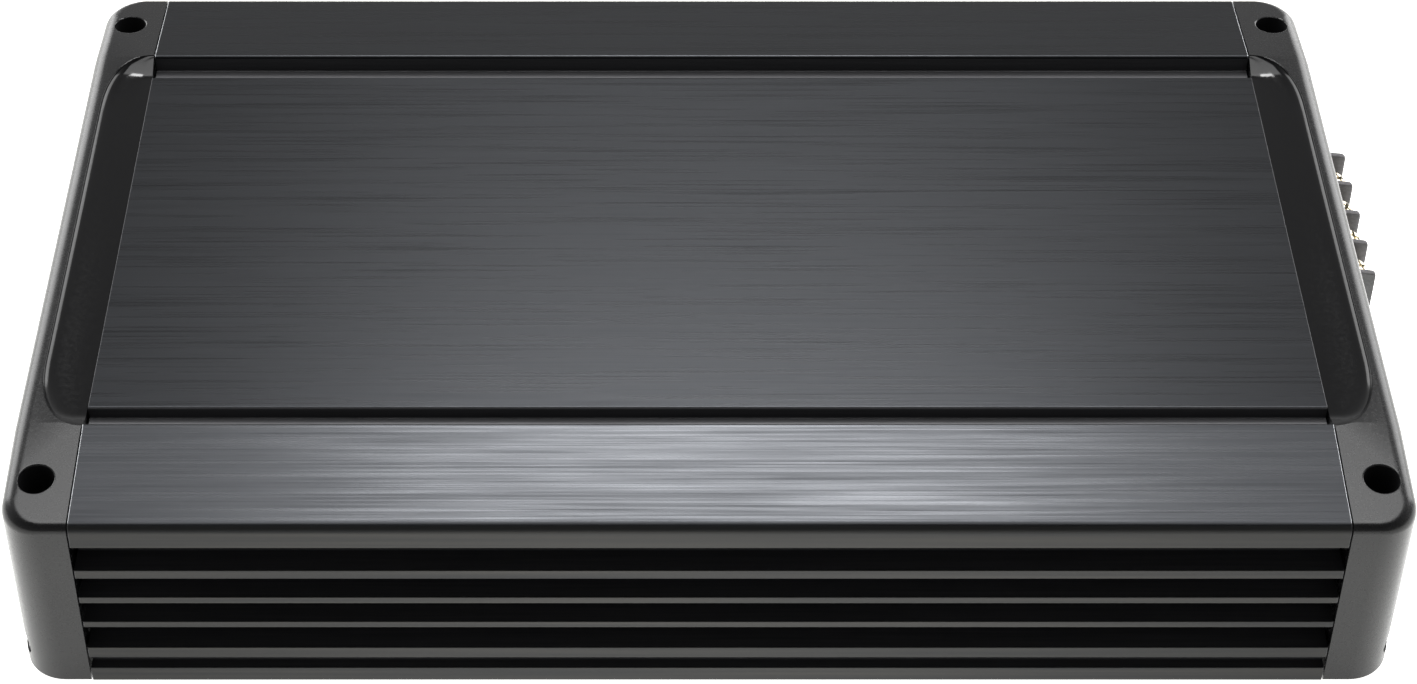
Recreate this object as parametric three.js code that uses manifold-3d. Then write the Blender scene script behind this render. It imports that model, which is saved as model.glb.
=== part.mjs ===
// Four-channel car amplifier: an extruded heatsink housing between two moulded end caps.
// Millimetres, +Z up. The origin is the middle of the underside; X runs along the housing,
// the front (finned) face looks towards -Y, the power end is at +X and the input end at -X.

import * as THREE from "three";
import { mergeVertices } from "three/addons/utils/BufferGeometryUtils.js";
import Module from "manifold-3d";

// ---------------------------------------------------------------- driving dimensions

// Housing
const housingLength = 300; // along X, seam to seam
const caseDepth = 210; // along Y, front face to back face
const lipHeight = 56.5; // top of the sloping strips, at their inner lip
const stripDrop = 3.5; // fall of each strip from its lip to the outer edge
const lipInset = 32; // outer face to the strip's inner lip
const channelWidth = 7; // groove between a strip and the raised centre panel
const channelDepth = 3.3; // below the centre panel
const panelDrop = 1.7; // centre panel below the lips
const panelSkin = 3.5;
const stripSkin = 3;
const edgeRadius = 2.5;
const bottomStrip = 4.8; // plain strip below the lowest groove of each face
const topBand = 6.8; // plain strip above the highest groove
const finPattern = [
  // from the bottom strip upwards: groove height, groove depth, rib above it
  { groove: 3.6, depth: 3, rib: 3.6 },
  { groove: 7.05, depth: 7, rib: 2.1 },
  { groove: 6.25, depth: 7, rib: 2.2 },
  { groove: 6.25, depth: 7, rib: 2.9 },
  { groove: 7.45, depth: 7, rib: 0 },
];
const wallWeb = 2.5; // wall behind the deepest groove

// Ledge and boss along the lower inside edges
const legWidth = 6;
const bossInset = 17;
const bossTop = 13;

// Bottom cover
const coverThickness = 1.5;
const standoffRadius = 4;
const standoffEndInset = 30; // from the board's end
const standoffSideInset = 8; // from the board's side

// End caps
const capLength = 17;
const capCornerRadius = 10.5;
const capRollRadius = 4.5;
const capWall = 3;
const capFloor = 2.5;
const capRoof = 3.1; // under the trough
const cornerPost = 23; // outer face to the pocket
const windowSill = 4.5; // the window's edge overlaps the end panel by this, top and bottom
const windowJamb = 3; // and by this at its ends
const windowCorner = 4;
const troughWidth = 12;
const troughInset = 31.4; // outer face to the trough's end
const troughEndLength = 23.6; // of its half-elliptical ends
const troughDrop = 1.2; // floor below the centre panel

// Corner mounting holes
const wellEndInset = 8; // from the end face
const wellSideInset = 14.76; // from the front or back face
const counterboreRadius = 4.23;
const counterboreFloor = 4.5;
const mountHoleRadius = 2.4;

// End panels and board
const sheetThickness = 1.2;
const boardThickness = 1.6;
const boardBottom = 8;
const boardSideGap = 2; // from the board's side to the end cap
const boardEndGap = 2.5; // from the board's end to the end panel

// Screws
const capScrewInset = 7.5; // from the outer face
const capScrewHeight = 7;
const capScrewRadius = 1.6;
const capScrewHeadRadius = 3;
const capScrewHeadDepth = 2.2;
const capScrewReach = 10; // into the housing
const capScrewSeatDepth = 4; // from the end face
const coverScrewEndInset = 10;
const coverScrewInset = 13;
const coverScrewRadius = 1.4;
const coverScrewHeadRadius = 2.8;
const coverScrewLength = 9;
const coverScrewSink = 0.1; // head below the cover's face, and its seat past both faces
const coverScrewRoom = 2; // left free past the screw's tip

// Power terminal block, four ways
const terminalPitch = 12.25;
const terminalWays = 4;
const terminalLiftShare = 0.507; // of the window height that the block leaves free
const barrierThickness = 1.8;
const barrierReach = 12.2; // outwards from the panel gap
const barrierOuterHeight = 23.6;
const barrierInnerHeight = 25.2;
const barrierCorner = 1.2;
const seatReach = 11.4;
const seatOuterHeight = 14.6;
const seatAngle = THREE.MathUtils.degToRad(35);
const seatCentreReach = 7.6;
const terminalTailLength = 11;
const terminalTailHeight = 16;
const terminalTailTrim = 3; // how far the tail stops short of the block's ends
const powerScrewRadius = 1.75;
const powerHeadRadius = 3.4;
const powerHeadDepth = 2.4;
const powerHeadRim = 0.7;
const powerShankLength = 6; // below the seat
const powerShankRoom = 1.5; // left free past the tip
const powerScrewTurns = { first: 0.5, step: 1.1 }; // radians, as the four screws were left
const driveRecessWidth = 1.1;
const driveRecessLength = 4;
const driveRecessDepth = 1.3;
const clampWidth = 8.6;
const clampLength = 8;
const clampThickness = 1;
const clampCorner = 1;

// Fuses
const fuseWays = 2;
const fuseWidth = 19.1;
const fuseThickness = 5.1;
const fuseHeadDepth = 9.6;
const fuseHeadCorner = 1;
const fuseBladeWidth = 5.2;
const fuseBladeThickness = 0.65;
const fuseBladeLength = 8.5;
const fuseBladeSpacing = 13.4;
const fusePitch = 8.2;
const fuseLift = 14.1; // above the board's face, as are the other lifts below
const fuseSeatDepth = 2.6;
const fuseHolderProud = 1.5; // beyond the end panel
const fuseHolderLength = 15;
const fuseHolderWall = 1.8;

// Speaker socket, eight pins
const speakerPins = 8;
const speakerPitch = 6;
const speakerLift = 13.1;
const speakerHeight = 13.4;
const speakerWall = 1.6;
const speakerProud = 4.5;
const speakerLength = 16;
const speakerCavityDepth = 11.5;
const speakerPinSize = 1.2;
const speakerPinReach = 9;
const speakerPinTail = 4;

// Free width left between the pieces of the power end, from front to back
const powerEndSpaces = { front: 8.4, speakerToFuses: 3.4, fusesToTerminals: 2, back: 24.7 };

// Line input jacks, at shares of the window's half width, as are the other pieces of the end
const jackColumnShares = [-0.81, -0.58];
const jackLifts = [5.1, 19.1];
const jackRadius = 4.15;
const jackWall = 0.6;
const jackReach = 7.8; // beyond the end panel
const jackSeatDepth = 2; // into the block
const jackRootThickness = 1.5;
const jackCoreRadius = 3.1;
const jackCoreSetback = 1.4;
const jackPinHoleRadius = 1.6;
const jackPinHoleDepth = 5.5;
const jackBlockLength = 12;
const jackBlockMargin = 6.5;

// Rotary controls
const controlLift = 14.1;
const controls = [
  { name: "front_crossover", share: -0.12 },
  { name: "front_gain", share: 0.1 },
  { name: "rear_crossover", share: 0.56 },
  { name: "rear_gain", share: 0.78 },
];
const potBodySize = 10;
const potBodyLength = 9;
const bushingRadius = 3.4;
const bushingReach = 1.6; // beyond the end panel
const bushingBore = 1.9;
const stemRadius = 1.5;
const stemLength = 5;
const knobRadius = 4.2;
const knobTaper = 0.92; // of the radius, at the front face
const knobLength = 4;
const knobFlutes = 9;
const fluteRadius = 0.45;
const knobSlotWidth = 0.9;
const knobSlotDepth = 0.9;

// Slide switches
const switches = [
  { name: "front_mode_switch", share: -0.34 },
  { name: "rear_mode_switch", share: 0.34 },
];
const switchBodyWidth = 13;
const switchBodyHeight = 7;
const switchBodyLength = 6;
const switchTravel = 2; // each way from the middle
const leverWidth = 3;
const leverHeight = 2.6;
const leverReach = 2.6; // beyond the end panel
const leverRoot = 2.4; // inside the switch body
const leverCorner = 0.5;

// Indicator lights
const lights = [
  { name: "power_led", lift: 20.1, color: 0x2a5bd0 },
  { name: "protect_led", lift: 8.1, color: 0xc03028 },
];
const lightShare = 0.95;
const lightRadius = 1.5;
const lightFlangeRadius = 1.9;
const lightReach = 1.8;
const lightLength = 5;
const lightFlangeLip = 0.2;
const lightDome = { height: 1.2, tipShare: 0.45, shoulderShare: 0.8, shoulderHeight: 0.48 };

// Inside
const transformer = { x: 75, y: -30, outer: 23, inner: 9, height: 22, corner: 6 };
const capacitors = [
  { x: 20, y: -45 },
  { x: 20, y: -18 },
];
const capacitorRadius = 9;
const capacitorHeadroom = 9.4; // under the centre panel's ceiling
const capacitorCrimp = { depth: 0.7, low: 2, middle: 3, high: 4 };
const capacitorEdge = 0.6;
const clampBarEndInset = 40; // from the housing's end
const clampBarThickness = 5;
const clampBarLift = 10;
const clampBarHeight = 12;
const clampBarWallGap = 4.6; // room for the power transistors

// Clearances
const seamGap = 0.3; // between housing and end cap
const fitGap = 0.3; // around a piece seated in another
const turnGap = 0.4; // around a piece that turns or slides

// How far a piece reaches into the one it joins, or a cut runs past what it cuts
const overlap = 1;

// Facets on a full circle
const medium = 20;
const coarse = 12;
const tiny = 6;

// Steps on an outline's quarter circles and on its small corners
const arcSteps = 6;
const troughSteps = 10;
const cornerSteps = 3;

// ---------------------------------------------------------------- worked-out places

const halfLength = housingLength / 2;
const halfDepth = caseDepth / 2;
const edgeHeight = lipHeight - stripDrop;
const panelHeight = lipHeight - panelDrop;
const panelInset = lipInset + channelWidth;
const channelFloor = panelHeight - channelDepth;
const panelCeiling = panelHeight - panelSkin;
const stripCeiling = channelFloor - stripSkin;
const panelCeilingInset = panelInset + stripSkin;
const grooveDepth = Math.max(...finPattern.map(({ depth }) => depth));
const wallInset = grooveDepth + wallWeb;
const capInner = halfLength + seamGap;
const capOuter = halfLength + capLength;
const pocketEnd = capOuter - capWall;
const pocketHalfWidth = halfDepth - cornerPost;
const troughFloor = panelHeight - troughDrop;
const troughHalfLength = halfDepth - troughInset;
const pocketTop = troughFloor - capRoof;
const windowHalfWidth = pocketHalfWidth - windowJamb;
const windowBottom = capFloor + windowSill;
const windowTop = pocketTop - windowSill;
const wellX = capOuter - wellEndInset;
const wellY = halfDepth - wellSideInset;
const sheetOuter = pocketEnd - fitGap;
const sheetInner = sheetOuter - sheetThickness;
const boardTop = boardBottom + boardThickness;
const boardHalfLength = sheetInner - boardEndGap;
const boardHalfWidth = pocketHalfWidth - boardSideGap;
const onBoard = boardTop + fitGap;
const controlRow = onBoard + controlLift;
const jackRows = jackLifts.map((lift) => onBoard + lift);
const behindSheet = sheetInner - fitGap;
const coverScrewX = halfLength - coverScrewEndInset;
const coverScrewY = halfDepth - coverScrewInset;
const capScrewY = halfDepth - capScrewInset;
const capScrewSeat = capOuter - capScrewSeatDepth;
const stripSlope = stripDrop / lipInset;
const terminalBack = sheetOuter + fitGap;
const terminalFree = windowTop - windowBottom - barrierInnerHeight;
const terminalBottom = windowBottom + terminalFree * terminalLiftShare;
const seatOuterTop = terminalBottom + seatOuterHeight;
const terminalLength = terminalPitch * terminalWays + barrierThickness;
const fuseHolderWidth = (fuseWays - 1) * fusePitch + fuseThickness + 2 * (fitGap + fuseHolderWall);
const speakerWidth = speakerPins * speakerPitch + 2 * speakerWall;

// Places along Y of the power end's pieces: they share out what their widths leave free.
const powerEndFree = 2 * windowHalfWidth - terminalLength - fuseHolderWidth - speakerWidth;
const powerEndTotal = Object.values(powerEndSpaces).reduce((sum, space) => sum + space);
const powerEndScale = powerEndFree / powerEndTotal;
const speakerLow = powerEndSpaces.front * powerEndScale - windowHalfWidth;
const speakerCentreY = speakerLow + speakerWidth / 2;
const fuseLow = speakerLow + speakerWidth + powerEndSpaces.speakerToFuses * powerEndScale;
const fuseCentreY = fuseLow + fuseHolderWidth / 2;
const terminalLow = fuseLow + fuseHolderWidth + powerEndSpaces.fusesToTerminals * powerEndScale;
const terminalHigh = terminalLow + terminalLength;
const terminalCentreY = (terminalLow + terminalHigh) / 2;

// Places along Y of the input end's pieces.
const jackColumns = jackColumnShares.map((share) => share * windowHalfWidth);
const lightY = lightShare * windowHalfWidth;
for (const item of [...controls, ...switches]) item.y = item.share * windowHalfWidth;

// ---------------------------------------------------------------- solids

const wasm = await Module();
wasm.setup();

function solid(geometry) {
  const plain = geometry.clone();
  plain.deleteAttribute("normal");
  plain.deleteAttribute("uv");
  const merged = mergeVertices(plain, 1e-4);
  return new wasm.Manifold(
    new wasm.Mesh({
      numProp: 3,
      vertProperties: merged.getAttribute("position").array,
      triVerts: new Uint32Array(merged.index.array),
    }),
  );
}

function join(...pieces) {
  return pieces.reduce((whole, piece) => whole.add(piece));
}

function cut(whole, ...pieces) {
  return pieces.reduce((rest, piece) => rest.subtract(piece), whole);
}

function meet(...pieces) {
  return pieces.reduce((shared, piece) => shared.intersect(piece));
}

function box(x0, x1, y0, y1, z0, z1) {
  const geometry = new THREE.BoxGeometry(x1 - x0, y1 - y0, z1 - z0);
  geometry.translate((x0 + x1) / 2, (y0 + y1) / 2, (z0 + z1) / 2);
  return solid(geometry);
}

// Prisms: an outline drawn in the plane across the axis, swept from one place to another.
const axes = {
  x: [new THREE.Vector3(0, 1, 0), new THREE.Vector3(0, 0, 1), new THREE.Vector3(1, 0, 0)],
  y: [new THREE.Vector3(0, 0, 1), new THREE.Vector3(1, 0, 0), new THREE.Vector3(0, 1, 0)],
  z: [new THREE.Vector3(1, 0, 0), new THREE.Vector3(0, 1, 0), new THREE.Vector3(0, 0, 1)],
};

function prism(axis, outline, from, to, curveSegments = arcSteps) {
  const geometry = new THREE.ExtrudeGeometry(outline, {
    depth: to - from,
    bevelEnabled: false,
    curveSegments,
  });
  geometry.translate(0, 0, from);
  geometry.applyMatrix4(new THREE.Matrix4().makeBasis(...axes[axis]));
  return solid(geometry);
}

function rod(axis, centre, radius, from, to, facets = medium, endRadius = radius) {
  const geometry = new THREE.CylinderGeometry(endRadius, radius, to - from, facets);
  geometry.rotateX(Math.PI / 2);
  geometry.translate(centre[0], centre[1], (from + to) / 2);
  geometry.applyMatrix4(new THREE.Matrix4().makeBasis(...axes[axis]));
  return solid(geometry);
}

function outlineOf(points) {
  return new THREE.Shape(points.map(([a, b]) => new THREE.Vector2(a, b)));
}

function roundedRectangle(a0, a1, b0, b1, radius) {
  const shape = new THREE.Shape();
  shape.moveTo(a0 + radius, b0);
  shape.lineTo(a1 - radius, b0);
  shape.absarc(a1 - radius, b0 + radius, radius, -Math.PI / 2, 0);
  shape.lineTo(a1, b1 - radius);
  shape.absarc(a1 - radius, b1 - radius, radius, 0, Math.PI / 2);
  shape.lineTo(a0 + radius, b1);
  shape.absarc(a0 + radius, b1 - radius, radius, Math.PI / 2, Math.PI);
  shape.lineTo(a0, b0 + radius);
  shape.absarc(a0 + radius, b0 + radius, radius, Math.PI, Math.PI * 1.5);
  return shape;
}

// ---------------------------------------------------------------- assembly

const group = new THREE.Group();

const finishes = {
  anodised: { color: 0x2b2b2d, roughness: 0.42, metalness: 0.8 },
  moulded: { color: 0x17181a, roughness: 0.28, metalness: 0 },
  sheet: { color: 0x1c1c1e, roughness: 0.55, metalness: 0.4 },
  plate: { color: 0x222224, roughness: 0.5, metalness: 0.6 },
  laminate: { color: 0x2f5a3a, roughness: 0.6, metalness: 0 },
  blackScrew: { color: 0x1a1a1a, roughness: 0.35, metalness: 0.9 },
  nickel: { color: 0xcfc8b4, roughness: 0.25, metalness: 1 },
  phenolic: { color: 0x454346, roughness: 0.6, metalness: 0 },
  housingPlastic: { color: 0x1d1d1f, roughness: 0.5, metalness: 0 },
  fuseBody: { color: 0x2f9a4a, roughness: 0.3, metalness: 0 },
  aluminium: { color: 0xb8babd, roughness: 0.4, metalness: 1 },
  sleeve: { color: 0x1f2b4a, roughness: 0.4, metalness: 0 },
  winding: { color: 0x9a5a2a, roughness: 0.45, metalness: 0.6 },
};

function add(name, whole, finish, parent = group) {
  const made = whole.getMesh();
  const geometry = new THREE.BufferGeometry();
  geometry.setAttribute("position", new THREE.BufferAttribute(made.vertProperties, 3));
  geometry.setIndex(new THREE.BufferAttribute(made.triVerts, 1));
  const mesh = new THREE.Mesh(geometry, new THREE.MeshStandardMaterial(finish));
  mesh.name = name;
  parent.add(mesh);
  return mesh;
}

// ---------------------------------------------------------------- housing

// The grooves' heights share out the face between the bottom strip and the top band.
function finGrooves() {
  const total = finPattern.reduce((sum, { groove, rib }) => sum + groove + rib, 0);
  const scale = (edgeHeight - topBand - bottomStrip) / total;
  let low = bottomStrip;
  return finPattern.map(({ groove, depth, rib }) => {
    const found = { low, high: low + groove * scale, depth };
    low = found.high + rib * scale;
    return found;
  });
}

// One side of the housing's section, from the raised panel's edge down the outer face to the
// leg, and back up inside to the ceiling. Side is -1 for the front half and +1 for the back.
function sectionSide(side) {
  const at = (inset, z) => [side * (halfDepth - inset), z];
  const points = [
    at(panelInset, panelHeight),
    at(panelInset, channelFloor),
    at(lipInset, channelFloor),
    at(lipInset, lipHeight),
  ];
  const tilt = Math.atan(stripSlope);
  const arcTop = edgeHeight + stripSlope * edgeRadius;
  const steps = 4;
  for (let i = 0; i <= steps; i += 1) {
    const turn = tilt + ((Math.PI / 2 - tilt) * i) / steps;
    const inset = edgeRadius - edgeRadius * Math.sin(turn);
    points.push(at(inset, arcTop - edgeRadius + edgeRadius * Math.cos(turn)));
  }
  for (const { low, high, depth } of finGrooves().reverse()) {
    points.push(at(0, high), at(depth, high), at(depth, low), at(0, low));
  }
  points.push(
    at(0, 0),
    at(legWidth, 0),
    at(legWidth, coverThickness + fitGap),
    at(bossInset, coverThickness + fitGap),
    at(bossInset, bossTop),
    at(wallInset, bossTop),
    at(wallInset, stripCeiling),
    at(panelCeilingInset, stripCeiling),
    at(panelCeilingInset, panelCeiling),
  );
  return points;
}

function housing() {
  const front = sectionSide(-1);
  const back = sectionSide(1).reverse();
  const section = outlineOf([...front, ...back]);
  for (const side of [-1, 1]) {
    const port = new THREE.Path();
    port.absarc(side * capScrewY, capScrewHeight, capScrewRadius + fitGap, 0, Math.PI * 2);
    section.holes.push(port);
  }
  const screwHoles = coverScrewPlaces().map(([x, y]) =>
    rod("z", [x, y], coverScrewRadius + fitGap, 0, coverScrewLength + coverScrewRoom, coarse),
  );
  return cut(prism("x", section, -halfLength, halfLength), ...screwHoles);
}

function coverScrewPlaces() {
  const places = [];
  for (const x of [-coverScrewX, coverScrewX]) {
    for (const y of [-coverScrewY, coverScrewY]) places.push([x, y]);
  }
  return places;
}

function coverScrew([x, y]) {
  const head = rod(
    "z",
    [x, y],
    coverScrewHeadRadius,
    coverScrewSink,
    coverThickness,
    coarse,
    coverScrewRadius,
  );
  const shank = rod("z", [x, y], coverScrewRadius, coverThickness / 2, coverScrewLength, coarse);
  return join(head, shank);
}

function bottomCover() {
  const halfWidth = halfDepth - legWidth - fitGap;
  const end = halfLength - fitGap;
  let cover = box(-end, end, -halfWidth, halfWidth, 0, coverThickness);
  const standoffX = boardHalfLength - standoffEndInset;
  const standoffY = boardHalfWidth - standoffSideInset;
  for (const x of [-standoffX, standoffX]) {
    for (const y of [-standoffY, standoffY]) {
      const standoffTop = boardBottom - fitGap;
      const start = coverThickness / 2;
      cover = join(cover, rod("z", [x, y], standoffRadius, start, standoffTop, coarse));
    }
  }
  const sinks = coverScrewPlaces().map((place) =>
    rod(
      "z",
      place,
      coverScrewHeadRadius + fitGap,
      -coverScrewSink,
      coverThickness + coverScrewSink,
      coarse,
      coverScrewRadius + fitGap,
    ),
  );
  return cut(cover, ...sinks);
}

// ---------------------------------------------------------------- end caps

function capSideOutline() {
  const tilt = Math.atan(stripSlope);
  const arcTop = edgeHeight + stripSlope * edgeRadius;
  const shape = new THREE.Shape();
  shape.moveTo(-halfDepth, 0);
  shape.lineTo(halfDepth, 0);
  shape.lineTo(halfDepth, arcTop - edgeRadius);
  shape.absarc(halfDepth - edgeRadius, arcTop - edgeRadius, edgeRadius, 0, Math.PI / 2 - tilt);
  shape.lineTo(halfDepth - lipInset, lipHeight);
  shape.lineTo(lipInset - halfDepth, lipHeight);
  shape.absarc(
    edgeRadius - halfDepth,
    arcTop - edgeRadius,
    edgeRadius,
    Math.PI / 2 + tilt,
    Math.PI,
  );
  return shape;
}

function capPlanOutline() {
  const shape = new THREE.Shape();
  shape.moveTo(capInner, -halfDepth);
  shape.lineTo(capOuter - capCornerRadius, -halfDepth);
  shape.absarc(
    capOuter - capCornerRadius,
    capCornerRadius - halfDepth,
    capCornerRadius,
    -Math.PI / 2,
    0,
  );
  shape.lineTo(capOuter, halfDepth - capCornerRadius);
  shape.absarc(
    capOuter - capCornerRadius,
    halfDepth - capCornerRadius,
    capCornerRadius,
    0,
    Math.PI / 2,
  );
  shape.lineTo(capInner, halfDepth);
  return shape;
}

function capRollOutline() {
  const shape = new THREE.Shape();
  shape.moveTo(0, capInner - overlap);
  shape.lineTo(0, capOuter);
  shape.lineTo(lipHeight - capRollRadius, capOuter);
  shape.absarc(
    lipHeight - capRollRadius,
    capOuter - capRollRadius,
    capRollRadius,
    Math.PI / 2,
    0,
    true,
  );
  shape.lineTo(lipHeight, capInner - overlap);
  return shape;
}

function troughOutline() {
  const shape = new THREE.Shape();
  const endCentre = troughHalfLength - troughEndLength;
  shape.moveTo(capInner - overlap, -troughHalfLength);
  shape.lineTo(halfLength, -troughHalfLength);
  shape.absellipse(
    halfLength,
    -endCentre,
    troughWidth,
    troughEndLength,
    -Math.PI / 2,
    0,
  );
  shape.lineTo(halfLength + troughWidth, endCentre);
  shape.absellipse(halfLength, endCentre, troughWidth, troughEndLength, 0, Math.PI / 2);
  shape.lineTo(capInner - overlap, troughHalfLength);
  return shape;
}

function endCap() {
  const body = meet(
    prism("z", capPlanOutline(), 0, lipHeight + overlap),
    prism("x", capSideOutline(), capInner - overlap, capOuter + overlap),
    prism("y", capRollOutline(), -halfDepth - overlap, halfDepth + overlap),
  );
  const pocket = box(
    capInner - overlap,
    pocketEnd,
    -pocketHalfWidth,
    pocketHalfWidth,
    capFloor,
    pocketTop,
  );
  const opening = prism(
    "x",
    roundedRectangle(-windowHalfWidth, windowHalfWidth, windowBottom, windowTop, windowCorner),
    pocketEnd - overlap,
    capOuter + overlap,
  );
  const trough = prism("z", troughOutline(), troughFloor, lipHeight + overlap, troughSteps);
  const holes = [];
  for (const side of [-1, 1]) {
    const well = [wellX, side * wellY];
    const capScrew = [side * capScrewY, capScrewHeight];
    holes.push(
      rod("z", well, counterboreRadius, counterboreFloor, lipHeight + overlap),
      rod("z", well, mountHoleRadius, -overlap, counterboreFloor + overlap),
      rod("x", capScrew, capScrewHeadRadius + fitGap, capScrewSeat, capOuter + overlap, coarse),
      rod("x", capScrew, capScrewRadius + fitGap, capInner - overlap, capOuter, coarse),
    );
  }
  return cut(body, pocket, opening, trough, ...holes);
}

function capScrew(side) {
  const centre = [side * capScrewY, capScrewHeight];
  const headStart = capScrewSeat + fitGap;
  return join(
    rod("x", centre, capScrewHeadRadius, headStart, headStart + capScrewHeadDepth, coarse),
    rod("x", centre, capScrewRadius, halfLength - capScrewReach, headStart + overlap, coarse),
  );
}

// ---------------------------------------------------------------- power terminals

const screwAxis = new THREE.Vector3(Math.sin(seatAngle), 0, Math.cos(seatAngle));

function wayY(index) {
  return terminalCentreY + (index - (terminalWays - 1) / 2) * terminalPitch;
}

function seatCentre(y) {
  const rise = (seatReach - seatCentreReach) * Math.tan(seatAngle);
  return new THREE.Vector3(terminalBack + seatCentreReach, y, seatOuterTop + rise);
}

// Puts a group at a seat, with its own +Z along the tilted screw axis.
function placeAtSeat(y) {
  const seat = new THREE.Group();
  seat.position.copy(seatCentre(y));
  seat.rotation.y = seatAngle;
  group.add(seat);
  return seat;
}

function terminalBlock() {
  const seatInnerTop = seatOuterTop + seatReach * Math.tan(seatAngle);
  const base = outlineOf([
    [terminalBottom, terminalBack],
    [terminalBottom, terminalBack + seatReach],
    [seatOuterTop, terminalBack + seatReach],
    [seatInnerTop, terminalBack],
  ].reverse());
  let block = prism("y", base, terminalLow, terminalHigh);
  const barrier = new THREE.Shape();
  const outer = terminalBack + barrierReach;
  const barrierInnerTop = terminalBottom + barrierInnerHeight;
  const barrierOuterTop = terminalBottom + barrierOuterHeight;
  barrier.moveTo(terminalBottom, terminalBack);
  barrier.lineTo(barrierInnerTop, terminalBack);
  barrier.lineTo(barrierOuterTop, outer - barrierCorner);
  barrier.quadraticCurveTo(barrierOuterTop, outer, barrierOuterTop - barrierCorner, outer);
  barrier.lineTo(terminalBottom, outer);
  for (let i = 0; i <= terminalWays; i += 1) {
    const y = terminalLow + i * terminalPitch;
    block = join(block, prism("y", barrier, y, y + barrierThickness, cornerSteps));
  }
  const tail = box(
    terminalBack - terminalTailLength,
    terminalBack + overlap,
    terminalLow + terminalTailTrim,
    terminalHigh - terminalTailTrim,
    onBoard,
    onBoard + terminalTailHeight,
  );
  block = join(block, tail);
  for (let i = 0; i < terminalWays; i += 1) {
    const end = -(powerShankLength + powerShankRoom);
    const hole = rod("z", [0, 0], powerScrewRadius + turnGap, end, seatReach)
      .rotate([0, THREE.MathUtils.radToDeg(seatAngle), 0])
      .translate(seatCentre(wayY(i)).toArray());
    block = cut(block, hole);
  }
  return block;
}

function powerClamp() {
  const halfLong = clampLength / 2;
  const halfWide = clampWidth / 2;
  const top = fitGap + clampThickness;
  const plate = prism(
    "z",
    roundedRectangle(-halfLong, halfLong, -halfWide, halfWide, clampCorner),
    fitGap,
    top,
    cornerSteps,
  );
  return cut(plate, rod("z", [0, 0], powerScrewRadius + turnGap, 0, top + overlap));
}

function powerScrew() {
  const headStart = 2 * fitGap + clampThickness;
  const headEnd = headStart + powerHeadDepth;
  const profile = new THREE.Shape();
  profile.moveTo(0, headStart);
  profile.lineTo(powerHeadRadius, headStart);
  profile.lineTo(powerHeadRadius, headEnd - powerHeadRim);
  profile.quadraticCurveTo(powerHeadRadius, headEnd, powerHeadRadius - 2 * powerHeadRim, headEnd);
  profile.lineTo(0, headEnd);
  const turned = new THREE.LatheGeometry(profile.getPoints(cornerSteps), medium);
  const head = solid(turned.rotateX(Math.PI / 2));
  const shank = rod("z", [0, 0], powerScrewRadius, -powerShankLength, headStart + overlap);
  const half = driveRecessWidth / 2;
  const reach = driveRecessLength / 2;
  const floor = headEnd - driveRecessDepth;
  return cut(
    join(head, shank),
    box(-half, half, -reach, reach, floor, headEnd + overlap),
    box(-reach, reach, -half, half, floor, headEnd + overlap),
  );
}

// ---------------------------------------------------------------- fuses

const fuseCentreZ = onBoard + fuseLift;
const fuseBack = sheetOuter + fuseHolderProud - fuseSeatDepth + fitGap;

function fuseY(index) {
  return fuseCentreY + (index - (fuseWays - 1) / 2) * fusePitch;
}

function fuseBladeZ() {
  return [-1, 1].map((side) => fuseCentreZ + (side * fuseBladeSpacing) / 2);
}

function fuseHolder() {
  const halfHeight = fuseWidth / 2 + fitGap + fuseHolderWall;
  const front = sheetOuter + fuseHolderProud;
  let holder = box(
    front - fuseHolderLength,
    front,
    fuseLow,
    fuseLow + fuseHolderWidth,
    fuseCentreZ - halfHeight,
    fuseCentreZ + halfHeight,
  );
  for (let i = 0; i < fuseWays; i += 1) {
    const halfThick = fuseThickness / 2 + turnGap;
    const halfTall = fuseWidth / 2 + turnGap;
    const y = fuseY(i);
    holder = cut(
      holder,
      box(
        front - fuseSeatDepth,
        front + overlap,
        y - halfThick,
        y + halfThick,
        fuseCentreZ - halfTall,
        fuseCentreZ + halfTall,
      ),
    );
    for (const z of fuseBladeZ()) {
      const slotThick = fuseBladeThickness / 2 + turnGap;
      const slotWide = fuseBladeWidth / 2 + turnGap;
      holder = cut(
        holder,
        box(
          fuseBack - fuseBladeLength - overlap,
          front,
          y - slotThick,
          y + slotThick,
          z - slotWide,
          z + slotWide,
        ),
      );
    }
  }
  return holder;
}

function fuse(index) {
  const y = fuseY(index);
  const head = prism(
    "x",
    roundedRectangle(
      y - fuseThickness / 2,
      y + fuseThickness / 2,
      fuseCentreZ - fuseWidth / 2,
      fuseCentreZ + fuseWidth / 2,
      fuseHeadCorner,
    ),
    fuseBack,
    fuseBack + fuseHeadDepth,
    cornerSteps,
  );
  const blades = fuseBladeZ().map((z) =>
    box(
      fuseBack - fuseBladeLength,
      fuseBack + overlap,
      y - fuseBladeThickness / 2,
      y + fuseBladeThickness / 2,
      z - fuseBladeWidth / 2,
      z + fuseBladeWidth / 2,
    ),
  );
  return join(head, ...blades);
}

// ---------------------------------------------------------------- speaker socket

const speakerCentreZ = onBoard + speakerLift;
const speakerFront = sheetOuter + speakerProud;
const speakerBack = speakerFront - speakerLength;

function speakerPinY(index) {
  return speakerCentreY + (index - (speakerPins - 1) / 2) * speakerPitch;
}

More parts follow.
